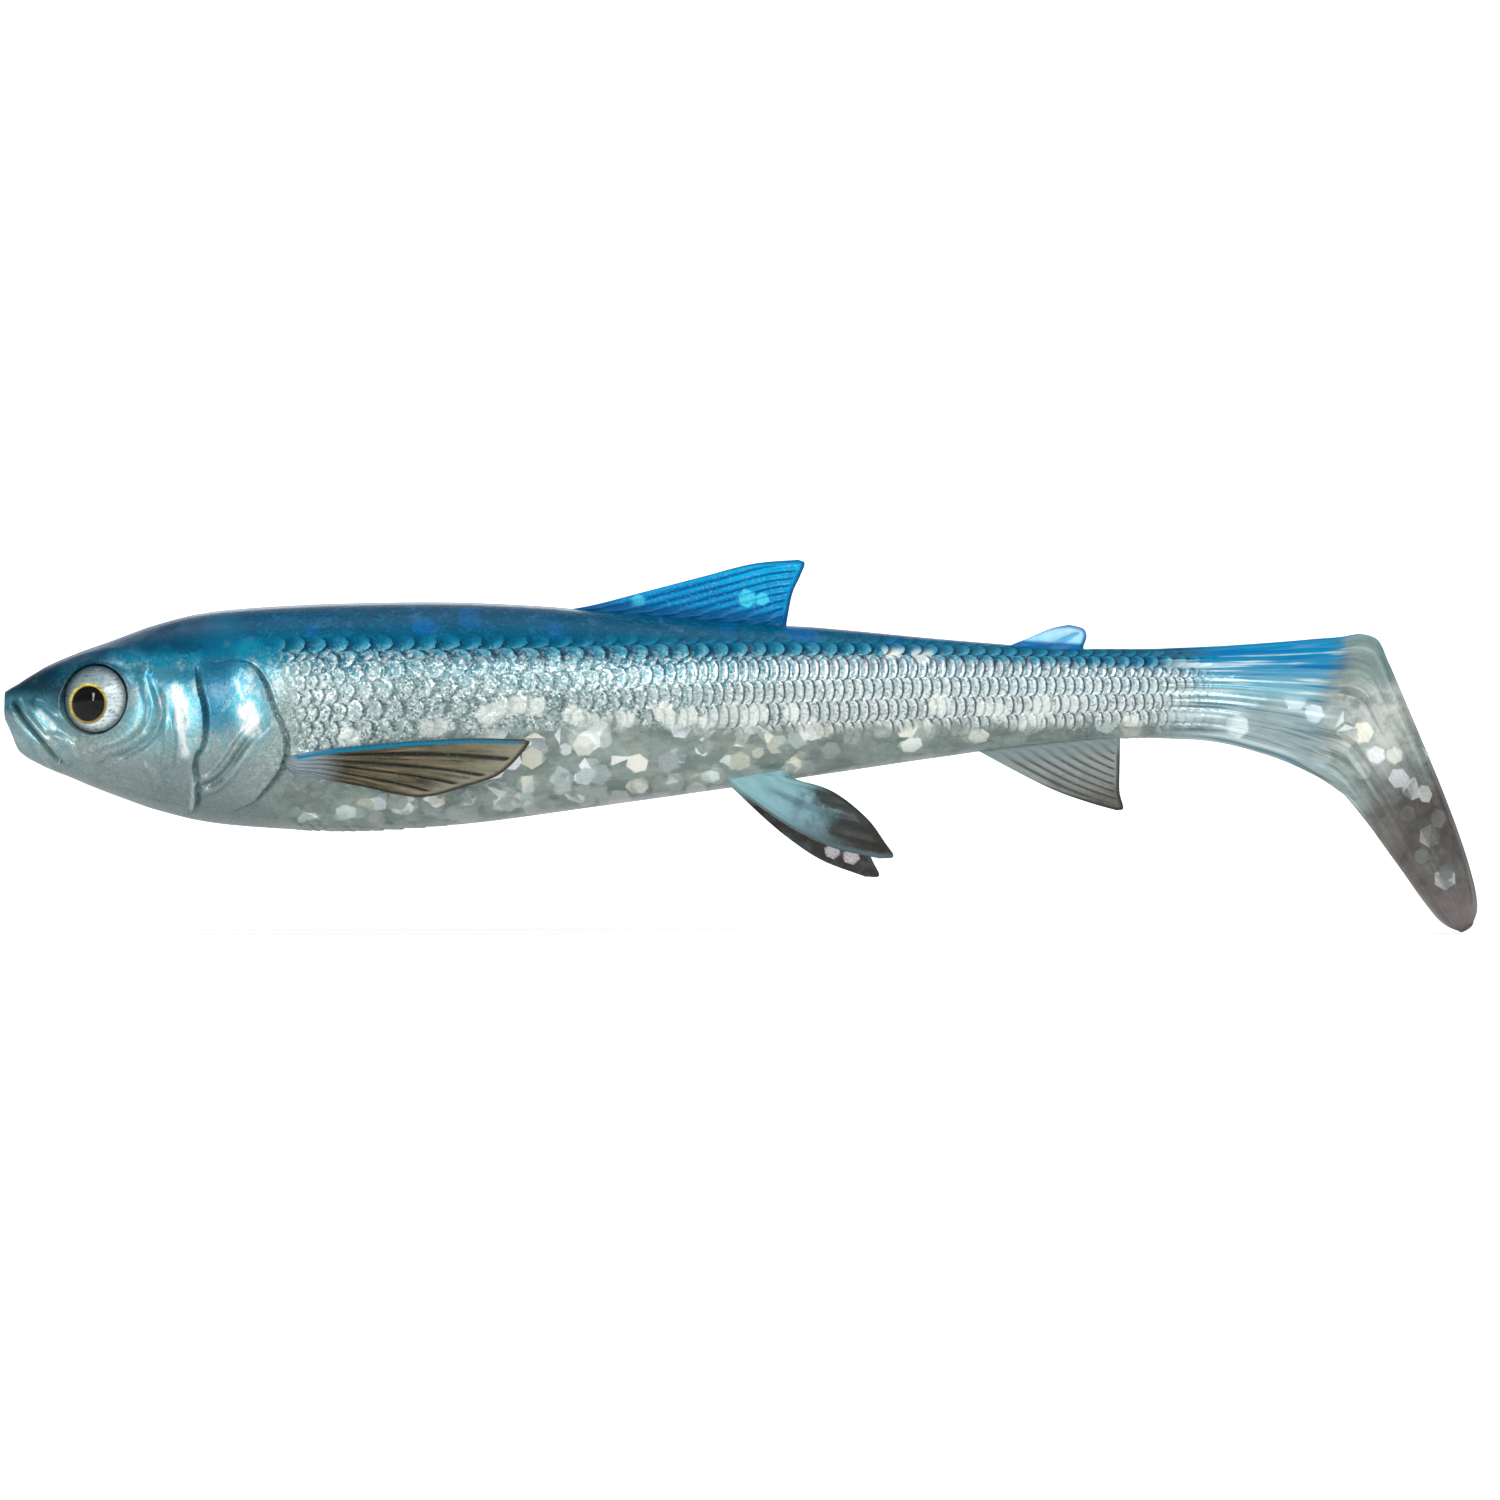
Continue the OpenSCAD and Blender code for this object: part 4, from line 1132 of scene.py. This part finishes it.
def plate_corners(normal, width, turn):
    """The six corners of a hexagonal plate, from its centre."""
    helper = np.array([0, 0, 1.0]) if abs(normal[2]) < 0.9 else np.array([1.0, 0, 0])
    a = unit(np.cross(normal, helper))
    b = np.cross(normal, a)
    angle = turn + np.arange(6)[:, None] * SIXTH
    return width / 2 * (np.cos(angle) * a + np.sin(angle) * b)


def tucked_in(centre, corners, row, column):
    """The centre moved inward until no corner stands proud of the skin round that grid point."""
    rows = slice(max(row - 16, 0), row + 17)
    columns = np.arange(column - 26, column + 27) % AROUND
    skin = BASE[rows][:, columns].reshape(-1, 3)
    outward = NORMAL[rows][:, columns].reshape(-1, 3)
    gap = (centre + corners)[:, None] - skin[None]
    nearest = np.argmin(np.linalg.norm(gap, axis=2), axis=1)
    proud = (gap[np.arange(6), nearest] * outward[nearest]).sum(axis=1).max()
    return centre - NORMAL[row, column] * max(proud + 0.10, 0)


def glitter_piece(name, joint, plates):
    """Thin hexagonal plates as one mesh, each given by its centre, normal, width and turn."""
    verts, faces = [], []
    for centre, normal, width, turn in plates:
        corners = centre + plate_corners(normal, width, turn)
        first = len(verts)
        for level in (-0.5, 0.5):
            verts += list(corners + level * PLATE_THICKNESS * normal)
        faces.append([first + 5 - k for k in range(6)])
        faces.append([first + 6 + k for k in range(6)])
        faces += [[first + k, first + (k + 1) % 6, first + 6 + (k + 1) % 6, first + 6 + k] for k in range(6)]
    ride_or_bend(new_object(name, verts, faces, FLAKE_MATERIAL, "glitter", smooth=False), joint)


def scattered(s0, s1, q0, q1, count, shift):
    """Extra flakes at several depths between two places along the lure and across its depth."""
    i = np.arange(1, count + 1) + shift
    rows = np.clip(np.searchsorted(S, s0 + (s1 - s0) * fraction(i, GOLDEN)), 1, len(S) - 2)
    q_wanted = q0 + (q1 - q0) * fraction(i, PLASTIC)
    deep = fraction(i, BRONZE)
    left = np.flatnonzero(np.cos(PHI) < 0)
    for r, q, d, number in zip(rows, q_wanted, deep, i):
        c = left[np.argmin(np.abs(Q[r, left] - q))]
        mirror = np.array([1, 1 if number % 2 == 0 else -1, 1])
        normal = NORMAL[r, c] * mirror
        tilt = 0.18 * np.array([math.sin(number * 2.3), math.sin(number * 3.1), math.sin(number * 1.7)])
        facing = unit(normal + tilt)
        width = (3.1 if number % 7 else 1.9) * (0.86 + 0.24 * deep[number % count])
        room = min(core_depth(abs(normal[1])), 0.5 * abs(BASE[r, c, 1]))
        centre = BASE[r, c] - NORMAL[r, c] * (0.2 + (room - 0.3) * d)
        corners = plate_corners(facing, width, number * 0.7) * mirror
        yield tucked_in(centre, corners, r, c) * mirror, facing, width, number * 0.7


TAIL_FLAKES = [
    (166.2, 2.0, 2.3), (175.2, 1.0, 3.4), (177.9, -1.1, 2.7), (174.8, -4.7, 3.4), (178.8, -6.8, 2.9),
    (180.6, -4.9, 2.4), (183.2, -1.6, 2.7), (184.4, -3.6, 3.1), (185.6, 0.3, 2.1), (187.8, -1.0, 2.7),
    (186.2, -6.6, 2.6), (188.6, -6.8, 2.5), (191.6, -6.9, 2.6), (184.4, -8.8, 2.6), (189.2, -9.8, 2.9),
    (192.6, -12.0, 2.6), (194.2, -15.4, 2.8), (190.4, -14.8, 2.4), (192.2, -20.4, 2.2), (195.4, -22.6, 2.4)]


def tail_plates():
    """The large flakes of the boot, x, z and width each, one set under each side."""
    for i, (x, z, width) in enumerate(TAIL_FLAKES):
        for side in (-1, 1):
            far = (X - x) ** 2 + (Z - z) ** 2 + 1e3 * (BASE[..., 1] * side < 0)
            r, c = np.unravel_index(np.argmin(far), X.shape)
            facing = unit(NORMAL[r, c] + 0.12 * np.array([math.sin(i * 2.3), 0, math.sin(i * 1.7)]))
            centre = BASE[r, c] - NORMAL[r, c] * min(0.28, 0.4 * abs(BASE[r, c, 1]))
            turn = i * 0.9 + side
            yield tucked_in(centre, plate_corners(facing, width, turn), r, c), facing, width, turn


SCATTER = [(44, SEAMS[2] - 2, 0.42, 0.97, 210, 0), (SEAMS[2] + 2, SEAMS[3] - 2, 0.40, 0.96, 150, 400),
           (SEAMS[3] + 2, SEAMS[4] - 2, 0.38, 0.92, 66, 700),
           (SEAMS[4] + 2, SEAMS[5] - 2, 0.35, 0.85, 26, 900)]
for (name, joint, _), spread in zip(STRETCHES, SCATTER):
    glitter_piece(f"{name}_glitter", joint, scattered(*spread))
glitter_piece("tail_glitter", "paddle_flex", tail_plates())
for part in ("front", "mid", "rear", "stem", "paddle"):
    for slot in frame["nodes"][f"glitter_{part}"].material_slots:
        slot.material = FLAKE_MATERIAL


# ---------- fins ----------

ROOT_SUNK = 0.9                             # how far a fin's skin reaches into the body


class FinPlane:
    """A fin's own plane, found from its CAD solid and its joint: p runs along the root, r away from it."""

    def __init__(self, node, joint):
        self.root = joint_place(joint)
        self.along = unit(np.array(JOINT[joint]["axis"]))
        self.along = self.along * np.sign(self.along[0 if abs(self.along[0]) > 0.5 else 2])
        rel = cad_points(node) - self.root
        normal = np.linalg.svd(rel - rel.mean(axis=0), full_matrices=False)[2][2]
        normal = unit(normal - (normal @ self.along) * self.along)
        out = np.cross(normal, self.along)
        self.out = out * np.sign((rel @ out).mean())
        self.normal = np.cross(self.along, self.out)
        p, r = rel @ self.along, rel @ self.out
        self.p0, self.p1, self.r1 = p.min(), p.max(), r.max()

    def place(self, p, r, h):
        return self.root + p[..., None] * self.along + r[..., None] * self.out + h[..., None] * self.normal

    def edge(self, points):
        """Points given in shares of the fin's box, as a smooth chain in its plane."""
        width = self.p1 - self.p0
        return chain([(self.p0 + a * width, b * self.r1) for a, b in points], 12)


def read_chain(points, share):
    """The chain read at shares of its own length."""
    length = np.concatenate([[0], np.cumsum(np.hypot(*np.diff(points, axis=0).T))])
    return np.stack([np.interp(share * length[-1], length, points[:, c]) for c in (0, 1)], -1)


def fin_grid(lead, trail, knob):
    """Rays run from the root to the trailing edge; the first one is the leading edge itself."""
    nw, nr = (64, 36) if QUICK else (176, 84)
    w = np.linspace(0, 1, nw)[:, None]
    t = np.linspace(0, 1, nr)[None, :]
    front, back = read_chain(lead, t[0]), read_chain(trail, w[:, 0])
    root = lead[0] + (trail[-1] - lead[0]) * w
    if knob:
        middle = root.mean(axis=0)
        root = middle + (root - middle) * 0.8 - 1.2 * np.sin(math.pi * w) * np.array([0, 1.0])
    root = root - np.array([0, ROOT_SUNK])
    bulge = front - lead[0] - (lead[-1] - lead[0]) * t[0][:, None]
    p = root[:, None, :] * (1 - t[..., None]) + back[:, None, :] * t[..., None]
    p = p + bulge[None, :, :] * (1 - w[..., None]) ** 1.3
    return p, w, t


def distance_to_rim(p, lead, trail):
    """Distance of every grid point from the fin's outline, and from its leading edge."""
    rim = np.concatenate([lead, trail])
    gap, leading = np.full(p.shape[:2], 1e9), np.full(p.shape[:2], 1e9)
    for a, b in zip(rim[:-1], rim[1:]):
        d = b - a
        share = np.clip(((p - a) @ d) / max(d @ d, 1e-9), 0, 1)
        gap = np.minimum(gap, np.linalg.norm(p - a - share[..., None] * d, axis=-1))
    for a in lead:
        leading = np.minimum(leading, np.linalg.norm(p - a, axis=-1))
    return gap, leading


def fin_thickness(r, w, t, gap, rays, thickness):
    """Half thickness over the fin, and the rays' height from 0 in a groove to 1 on a rib."""
    wave, branch = [(0.5 - 0.5 * np.cos(w * rays * k * math.pi)) ** 0.6 * np.ones_like(t) for k in (2, 4)]
    share = 0.45 * smoothstep(0.45, 0.9, t)
    groove = wave * (1 - share) + branch * share
    half = thickness / 2 * (1.2 - 0.6 * t) + 0.4 * np.exp(-np.clip(r, 0, None) / 0.7)
    half = half + 0.16 * (groove - 0.5) * smoothstep(0.02, 0.14, t) * smoothstep(0.2, 0.9, gap)
    half = half + 0.10 * bell(gap, 0.5, 0.3)
    return np.maximum(half * np.sqrt(np.clip(gap / 0.55, 0, 1)), 0.02), groove


def fin_shell(top, bottom):
    """Closed skin over two matching grids: both sides and the narrow band that joins them."""
    nw, nr = top.shape[:2]
    i, j = np.meshgrid(np.arange(nw - 1), np.arange(nr - 1), indexing="ij")
    a = i * nr + j
    upper = np.stack([a, a + nr, a + nr + 1, a + 1], -1).reshape(-1, 4)
    lower = upper[:, ::-1] + nw * nr
    border = ([k * nr for k in range(nw)] + [(nw - 1) * nr + k for k in range(1, nr)]
              + [k * nr + nr - 1 for k in range(nw - 2, -1, -1)] + list(range(nr - 2, 0, -1)))
    before = border[-1:] + border[:-1]
    sides = [[b, e, e + nw * nr, b + nw * nr] for b, e in zip(before, border)]
    verts = np.concatenate([top.reshape(-1, 3), bottom.reshape(-1, 3)])
    return verts, upper.tolist() + lower.tolist() + sides


def outward_faces(obj):
    mesh = bmesh.new()
    mesh.from_mesh(obj.data)
    bmesh.ops.recalc_face_normals(mesh, faces=mesh.faces)
    mesh.to_mesh(obj.data)
    mesh.free()


def fin(node, joint, lead, trail, rays, thickness, material, slot_name,
        strip=False, keel=0.0, knob=0.0, flakes=()):
    """A thin fin in its CAD solid's plane, bending at its root; edges in shares of the CAD fin's box."""
    plane = FinPlane(node, joint)
    lead, trail = plane.edge(lead), plane.edge(trail)
    grid, w, t = fin_grid(lead, trail, knob)
    gap, leading = distance_to_rim(grid, lead, trail)
    p, r = grid[..., 0], grid[..., 1]
    half, groove = fin_thickness(r, w, t, gap, rays, thickness)
    half = half + keel * bell(w, 0.45, 0.22) * np.sin(math.pi * np.clip(t, 0, 1)) * smoothstep(0, 1, gap)
    if knob:
        swell = knob * np.exp(-(r / 2.4) ** 2) * np.sin(math.pi * w) ** 0.7
        half = np.maximum((half + swell) * np.sqrt(np.clip(t / 0.12, 0, 1)), 0.02)
    verts, faces = fin_shell(plane.place(p, r, half), plane.place(p, r, -half))
    obj = new_object(f"{node}_skin", verts, faces, material, slot_name)
    outward_faces(obj)
    teal = bell(leading, 0.46, 0.28 - 0.12 * t) * smoothstep(0.99, 0.93, t) * strip
    outer = float(plane.normal[1] * plane.root[1] > 0)
    place = plane.place(p, r, 0 * p)
    flake = 0 * p
    for k, (x, z, size) in enumerate(flakes):
        reach = hex_reach(place[..., 0] - x, place[..., 2] - z, 0.4 + k)
        flake = np.maximum(flake, smoothstep(size, size * 0.85, reach))

    def both(*columns):
        """The same values on both sides; a pair gives each side its own."""
        sides = [c if isinstance(c, tuple) else (c, c) for c in columns]
        return np.stack([np.concatenate([(one + 0 * p).ravel() for one in pair]) for pair in sides], -1)

    share = np.clip((p - plane.p0) / (plane.p1 - plane.p0), 0, 1)
    set_attribute(obj, "fin", both(np.clip(r / plane.r1, 0, 1), share, gap))
    height = groove * smoothstep(0.3, 1.1, gap) + smoothstep(1.1, 0.3, gap)
    set_attribute(obj, "rays", both(height, teal, flake))
    set_attribute(obj, "face", both((outer, 1 - outer), w, t))
    set_attribute(obj, "rest", verts)
    start, end = [tuple((plane.root + plane.out * out) * MM) for out in (-0.3, min(2.2, plane.r1 * 0.4))]
    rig.blend(obj, JOINT[joint]["parent"], JOINT[joint]["child"], start=start, end=end)
    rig.replaces(obj, node)


BLUE_FIN = fin_material("blue_fin_plastic", "#0090ca", "#00528c", "#00b2e4",
                        "#005c9e", "#00588e", (0.98, 1.0), painted_glow=0.10,
                        flake_tone="#50d8f0", fleck=0.35, polish=0.08)
PALE_BLUE_FIN = fin_material("pale_blue_fin_plastic", "#9cdef6", "#006cb0", "#cef0fc",
                             "#54aad8", "#0068a4", (0.92, 1.0), painted_glow=0.10)
SMOKE_FIN = fin_material("smoke_fin_plastic", "#96a09c", "#3c3a36", "#68625a",
                         "#525450", "#8a9a9a", (0.86, 0.98))
BROWN_FIN = fin_material("brown_fin_plastic", "#58523e", "#18140e", "#7e7a62",
                         "#060503", "#96a4ac", (0.88, 0.98), painted_glow=0.02, fleck=0.12,
                         streaky="#968868")
PELVIC_FIN = fin_material("grey_blue_fin_plastic", "#8cb8c0", "#5c7478", "#34302c",
                          "#688c96", "#8cb8bc", (0.95, 0.99), inner="#423c3a",
                          flake_tone="#ded8de")

fin("dorsal_fin", "dorsal_lean",
    [(-0.09, 0.0), (0.08, 0.14), (0.28, 0.36), (0.55, 0.66), (0.77, 0.90), (0.97, 1.0)],
    [(0.97, 1.0), (1.0, 0.95), (0.985, 0.75), (0.955, 0.45), (0.94, 0.0)], 9, 1.15, BLUE_FIN, "blue_fin",
    flakes=[(86.0, 14.2, 0.9), (100.8, 14.6, 1.2), (102.9, 14.5, 0.9)])
fin("adipose_fin", "adipose_lean", [(0.0, 0.0), (0.28, 0.42), (0.56, 0.84), (0.78, 1.0)],
    [(0.78, 1.0), (0.95, 0.86), (1.0, 0.5), (0.97, 0.0)], 2, 1.1, PALE_BLUE_FIN, "blue_fin")
fin("anal_fin", "anal_lean", [(0.0, 0.0), (0.24, 0.32), (0.5, 0.64), (0.73, 0.85), (0.92, 0.99)],
    [(0.92, 0.99), (0.965, 0.96), (0.95, 0.72), (0.965, 0.38), (0.985, 0.0)], 10, 1.05,
    SMOKE_FIN, "smoke_fin")
PELVIC_EDGES = {
    "left": ([(0.0, 0.0), (0.16, 0.26), (0.37, 0.56), (0.61, 0.81), (0.90, 0.99)],
             [(0.90, 0.99), (0.99, 0.99), (0.95, 0.83), (0.85, 0.53), (0.65, 0.20), (0.38, 0.0)]),
    "right": ([(0.0, 0.0), (0.15, 0.24), (0.35, 0.52), (0.59, 0.78), (0.89, 0.98)],
              [(0.89, 0.98), (0.99, 0.99), (0.96, 0.85), (0.885, 0.585), (0.70, 0.28), (0.42, 0.0)])}
PELVIC_FLAKES = {"left": (), "right": [(112.4, -19.6, 1.0), (115.0, -20.3, 1.1)]}


# ---------- eyes ----------

def eye_dome(side, centre, axis):
    """The clear dome poured over the foil: a closed cap whose flat base lies just above the print."""
    rel = cad_points(f"eye_lens_{side}") - centre
    height = rel @ axis
    radius = np.linalg.norm(rel - height[:, None] * axis, axis=-1).max()
    base = ((cad_points(f"eye_foil_{side}") - centre) @ axis).max() + 0.04
    a = unit(np.cross(axis, [0, 0, 1.0]))
    b = np.cross(axis, a)
    rings, around = 24, 96
    turn = 2 * math.pi * np.arange(around)[:, None] / around
    spoke = np.cos(turn) * a + np.sin(turn) * b
    wide = [math.cos(k / rings * math.pi / 2) for k in range(rings)]
    rise = height.max() - base
    verts = [centre + w * radius * spoke + (base + rise * (1 - w ** 2)) * axis for w in wide]
    ends = [list(range(around)), list(range((rings - 1) * around, rings * around))]
    faces = tube_faces(rings, around) + ends
    obj = new_object(f"eye_dome_{side}", np.concatenate(verts), faces, DOME_MATERIAL, "eye_dome")
    outward_faces(obj)
    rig.ride(obj, "trunk")
    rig.replaces(obj, f"eye_lens_{side}")


for side, mirror in EYES:
    fin(f"pectoral_fin_{side}", f"pectoral_swing_{side}",
        [(0.70, 0.0), (0.80, 0.16), (0.92, 0.46), (0.99, 0.74), (0.985, 0.985)],
        [(0.985, 0.985), (0.90, 1.0), (0.43, 0.88), (0.2, 0.72), (0.02, 0.52), (0.18, 0.26), (0.34, 0.0)],
        9, 0.95, BROWN_FIN, "smoke_fin", strip=True, knob=0.8)
    fin(f"pelvic_fin_{side}", f"pelvic_swing_{side}", *PELVIC_EDGES[side], 3, 1.2, PELVIC_FIN, "smoke_fin",
        keel=0.35, flakes=PELVIC_FLAKES[side])
    foil = eye_foil_material(f"eye_foil_{side}_print", EYE_CENTRE * mirror, EYE_AXIS * mirror)
    for slot in frame["nodes"][f"eye_foil_{side}"].material_slots:
        slot.material = foil
    eye_dome(side, EYE_CENTRE * mirror, EYE_AXIS * mirror)


# ---------- stage, light and camera; sizes in metres ----------

MIDDLE = (0.1, 0, 0)                        # of the lure
FLAT, CURVE, WALL = 1.6, 1.2, 1.6           # radius of the flat floor and of the cove round it, wall height
CAMERA_AWAY = 1.9
SENSOR = 36                                 # mm


def stage():
    """A pale floor that curves up behind into a backdrop."""
    n = Nodes("pale_backdrop")
    place = n.add("ShaderNodeTexCoord", output="Object")
    n.tone = n.mix(n.noise(place, 3.0), (0.90, 0.90, 0.90), (0.93, 0.93, 0.93))
    seen = n.add("ShaderNodeLightPath", output="Is Camera Ray")
    away = n.vector("DISTANCE", place, MIDDLE, output="Value")
    material = n.surface(Roughness=0.9, Specular_IOR_Level=0.0, Emission_Color=(1.0, 1.0, 1.0),
                         Emission_Strength=n.times(seen, n.span(away, 0.2, 1.0, 0.45, 1.1)))
    low = cad_box[0][2] - 0.0004
    outline = [(r, low) for r in np.linspace(0.0, FLAT, 8)]
    outline += [(FLAT + CURVE * math.sin(a), low + CURVE * (1 - math.cos(a)))
                for a in np.linspace(0, math.pi / 2, 14)[1:]]
    outline += [(FLAT + CURVE, low + CURVE + h) for h in (0.6, WALL)]
    centre = (cad_box[0][0] + cad_box[1][0]) / 2
    around = 64
    turns = [2 * math.pi * k / around for k in range(around)]
    verts = [(centre + r * math.cos(a), r * math.sin(a), z) for r, z in outline for a in turns]
    mesh = bpy.data.meshes.new("floor")
    mesh.from_pydata(verts, [], tube_faces(len(outline), around))
    mesh.polygons.foreach_set("use_smooth", [True] * len(mesh.polygons))
    mesh.materials.append(material)
    floor = bpy.data.objects.new("floor", mesh)
    bpy.context.scene.collection.objects.link(floor)
    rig.stage(floor)


def softbox(name, place, size, watts):
    """A rectangular lamp that faces the lure."""
    light = bpy.data.lights.new(name, "AREA")
    light.shape = "RECTANGLE"
    light.size, light.size_y = size
    light.energy = watts
    obj = bpy.data.objects.new(name, light)
    obj.location = place
    obj.rotation_euler = (Vector(MIDDLE) - Vector(place)).to_track_quat("-Z", "Y").to_euler()
    bpy.context.scene.collection.objects.link(obj)


def world(scene):
    scene.world = bpy.data.worlds.new("studio")
    scene.world.use_nodes = True
    background = scene.world.node_tree.nodes["Background"]
    background.inputs[0].default_value = (0.86, 0.93, 1.0, 1)
    background.inputs[1].default_value = 0.30


def camera(scene):
    """Looks square at the lure's left side and frames its whole length."""
    lens = bpy.data.cameras.new("camera")
    lens.sensor_width = SENSOR
    lens.lens = SENSOR * CAMERA_AWAY / (1.019 * NOMINAL_LENGTH * MM)
    lens.clip_end = 20
    obj = bpy.data.objects.new("camera", lens)
    obj.location = (0.506 * NOMINAL_LENGTH * MM, -CAMERA_AWAY, -0.030 * NOMINAL_LENGTH * MM)
    obj.rotation_euler = (math.pi / 2, 0, 0)
    scene.collection.objects.link(obj)
    scene.camera = obj


stage()
world(bpy.context.scene)
camera(bpy.context.scene)
softbox("key", (0.30, -1.0, 0.62), (0.55, 0.40), 6.8)
softbox("left", (-0.55, -0.95, 0.20), (0.14, 0.55), 2.8)
softbox("top", (0.10, 0.10, 0.95), (0.9, 0.35), 2.6)
softbox("back", (0.10, 1.1, 0.45), (0.9, 0.3), 1.6)
bpy.context.scene.view_settings.view_transform = "Standard"
bpy.context.scene.cycles.use_denoising = True

bpy.context.view_layer.update()
visual_box = [list(corner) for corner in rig.bounds()]
with open("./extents.json", "w") as out:
    json.dump({"cad": cad_box, "visual": visual_box}, out)
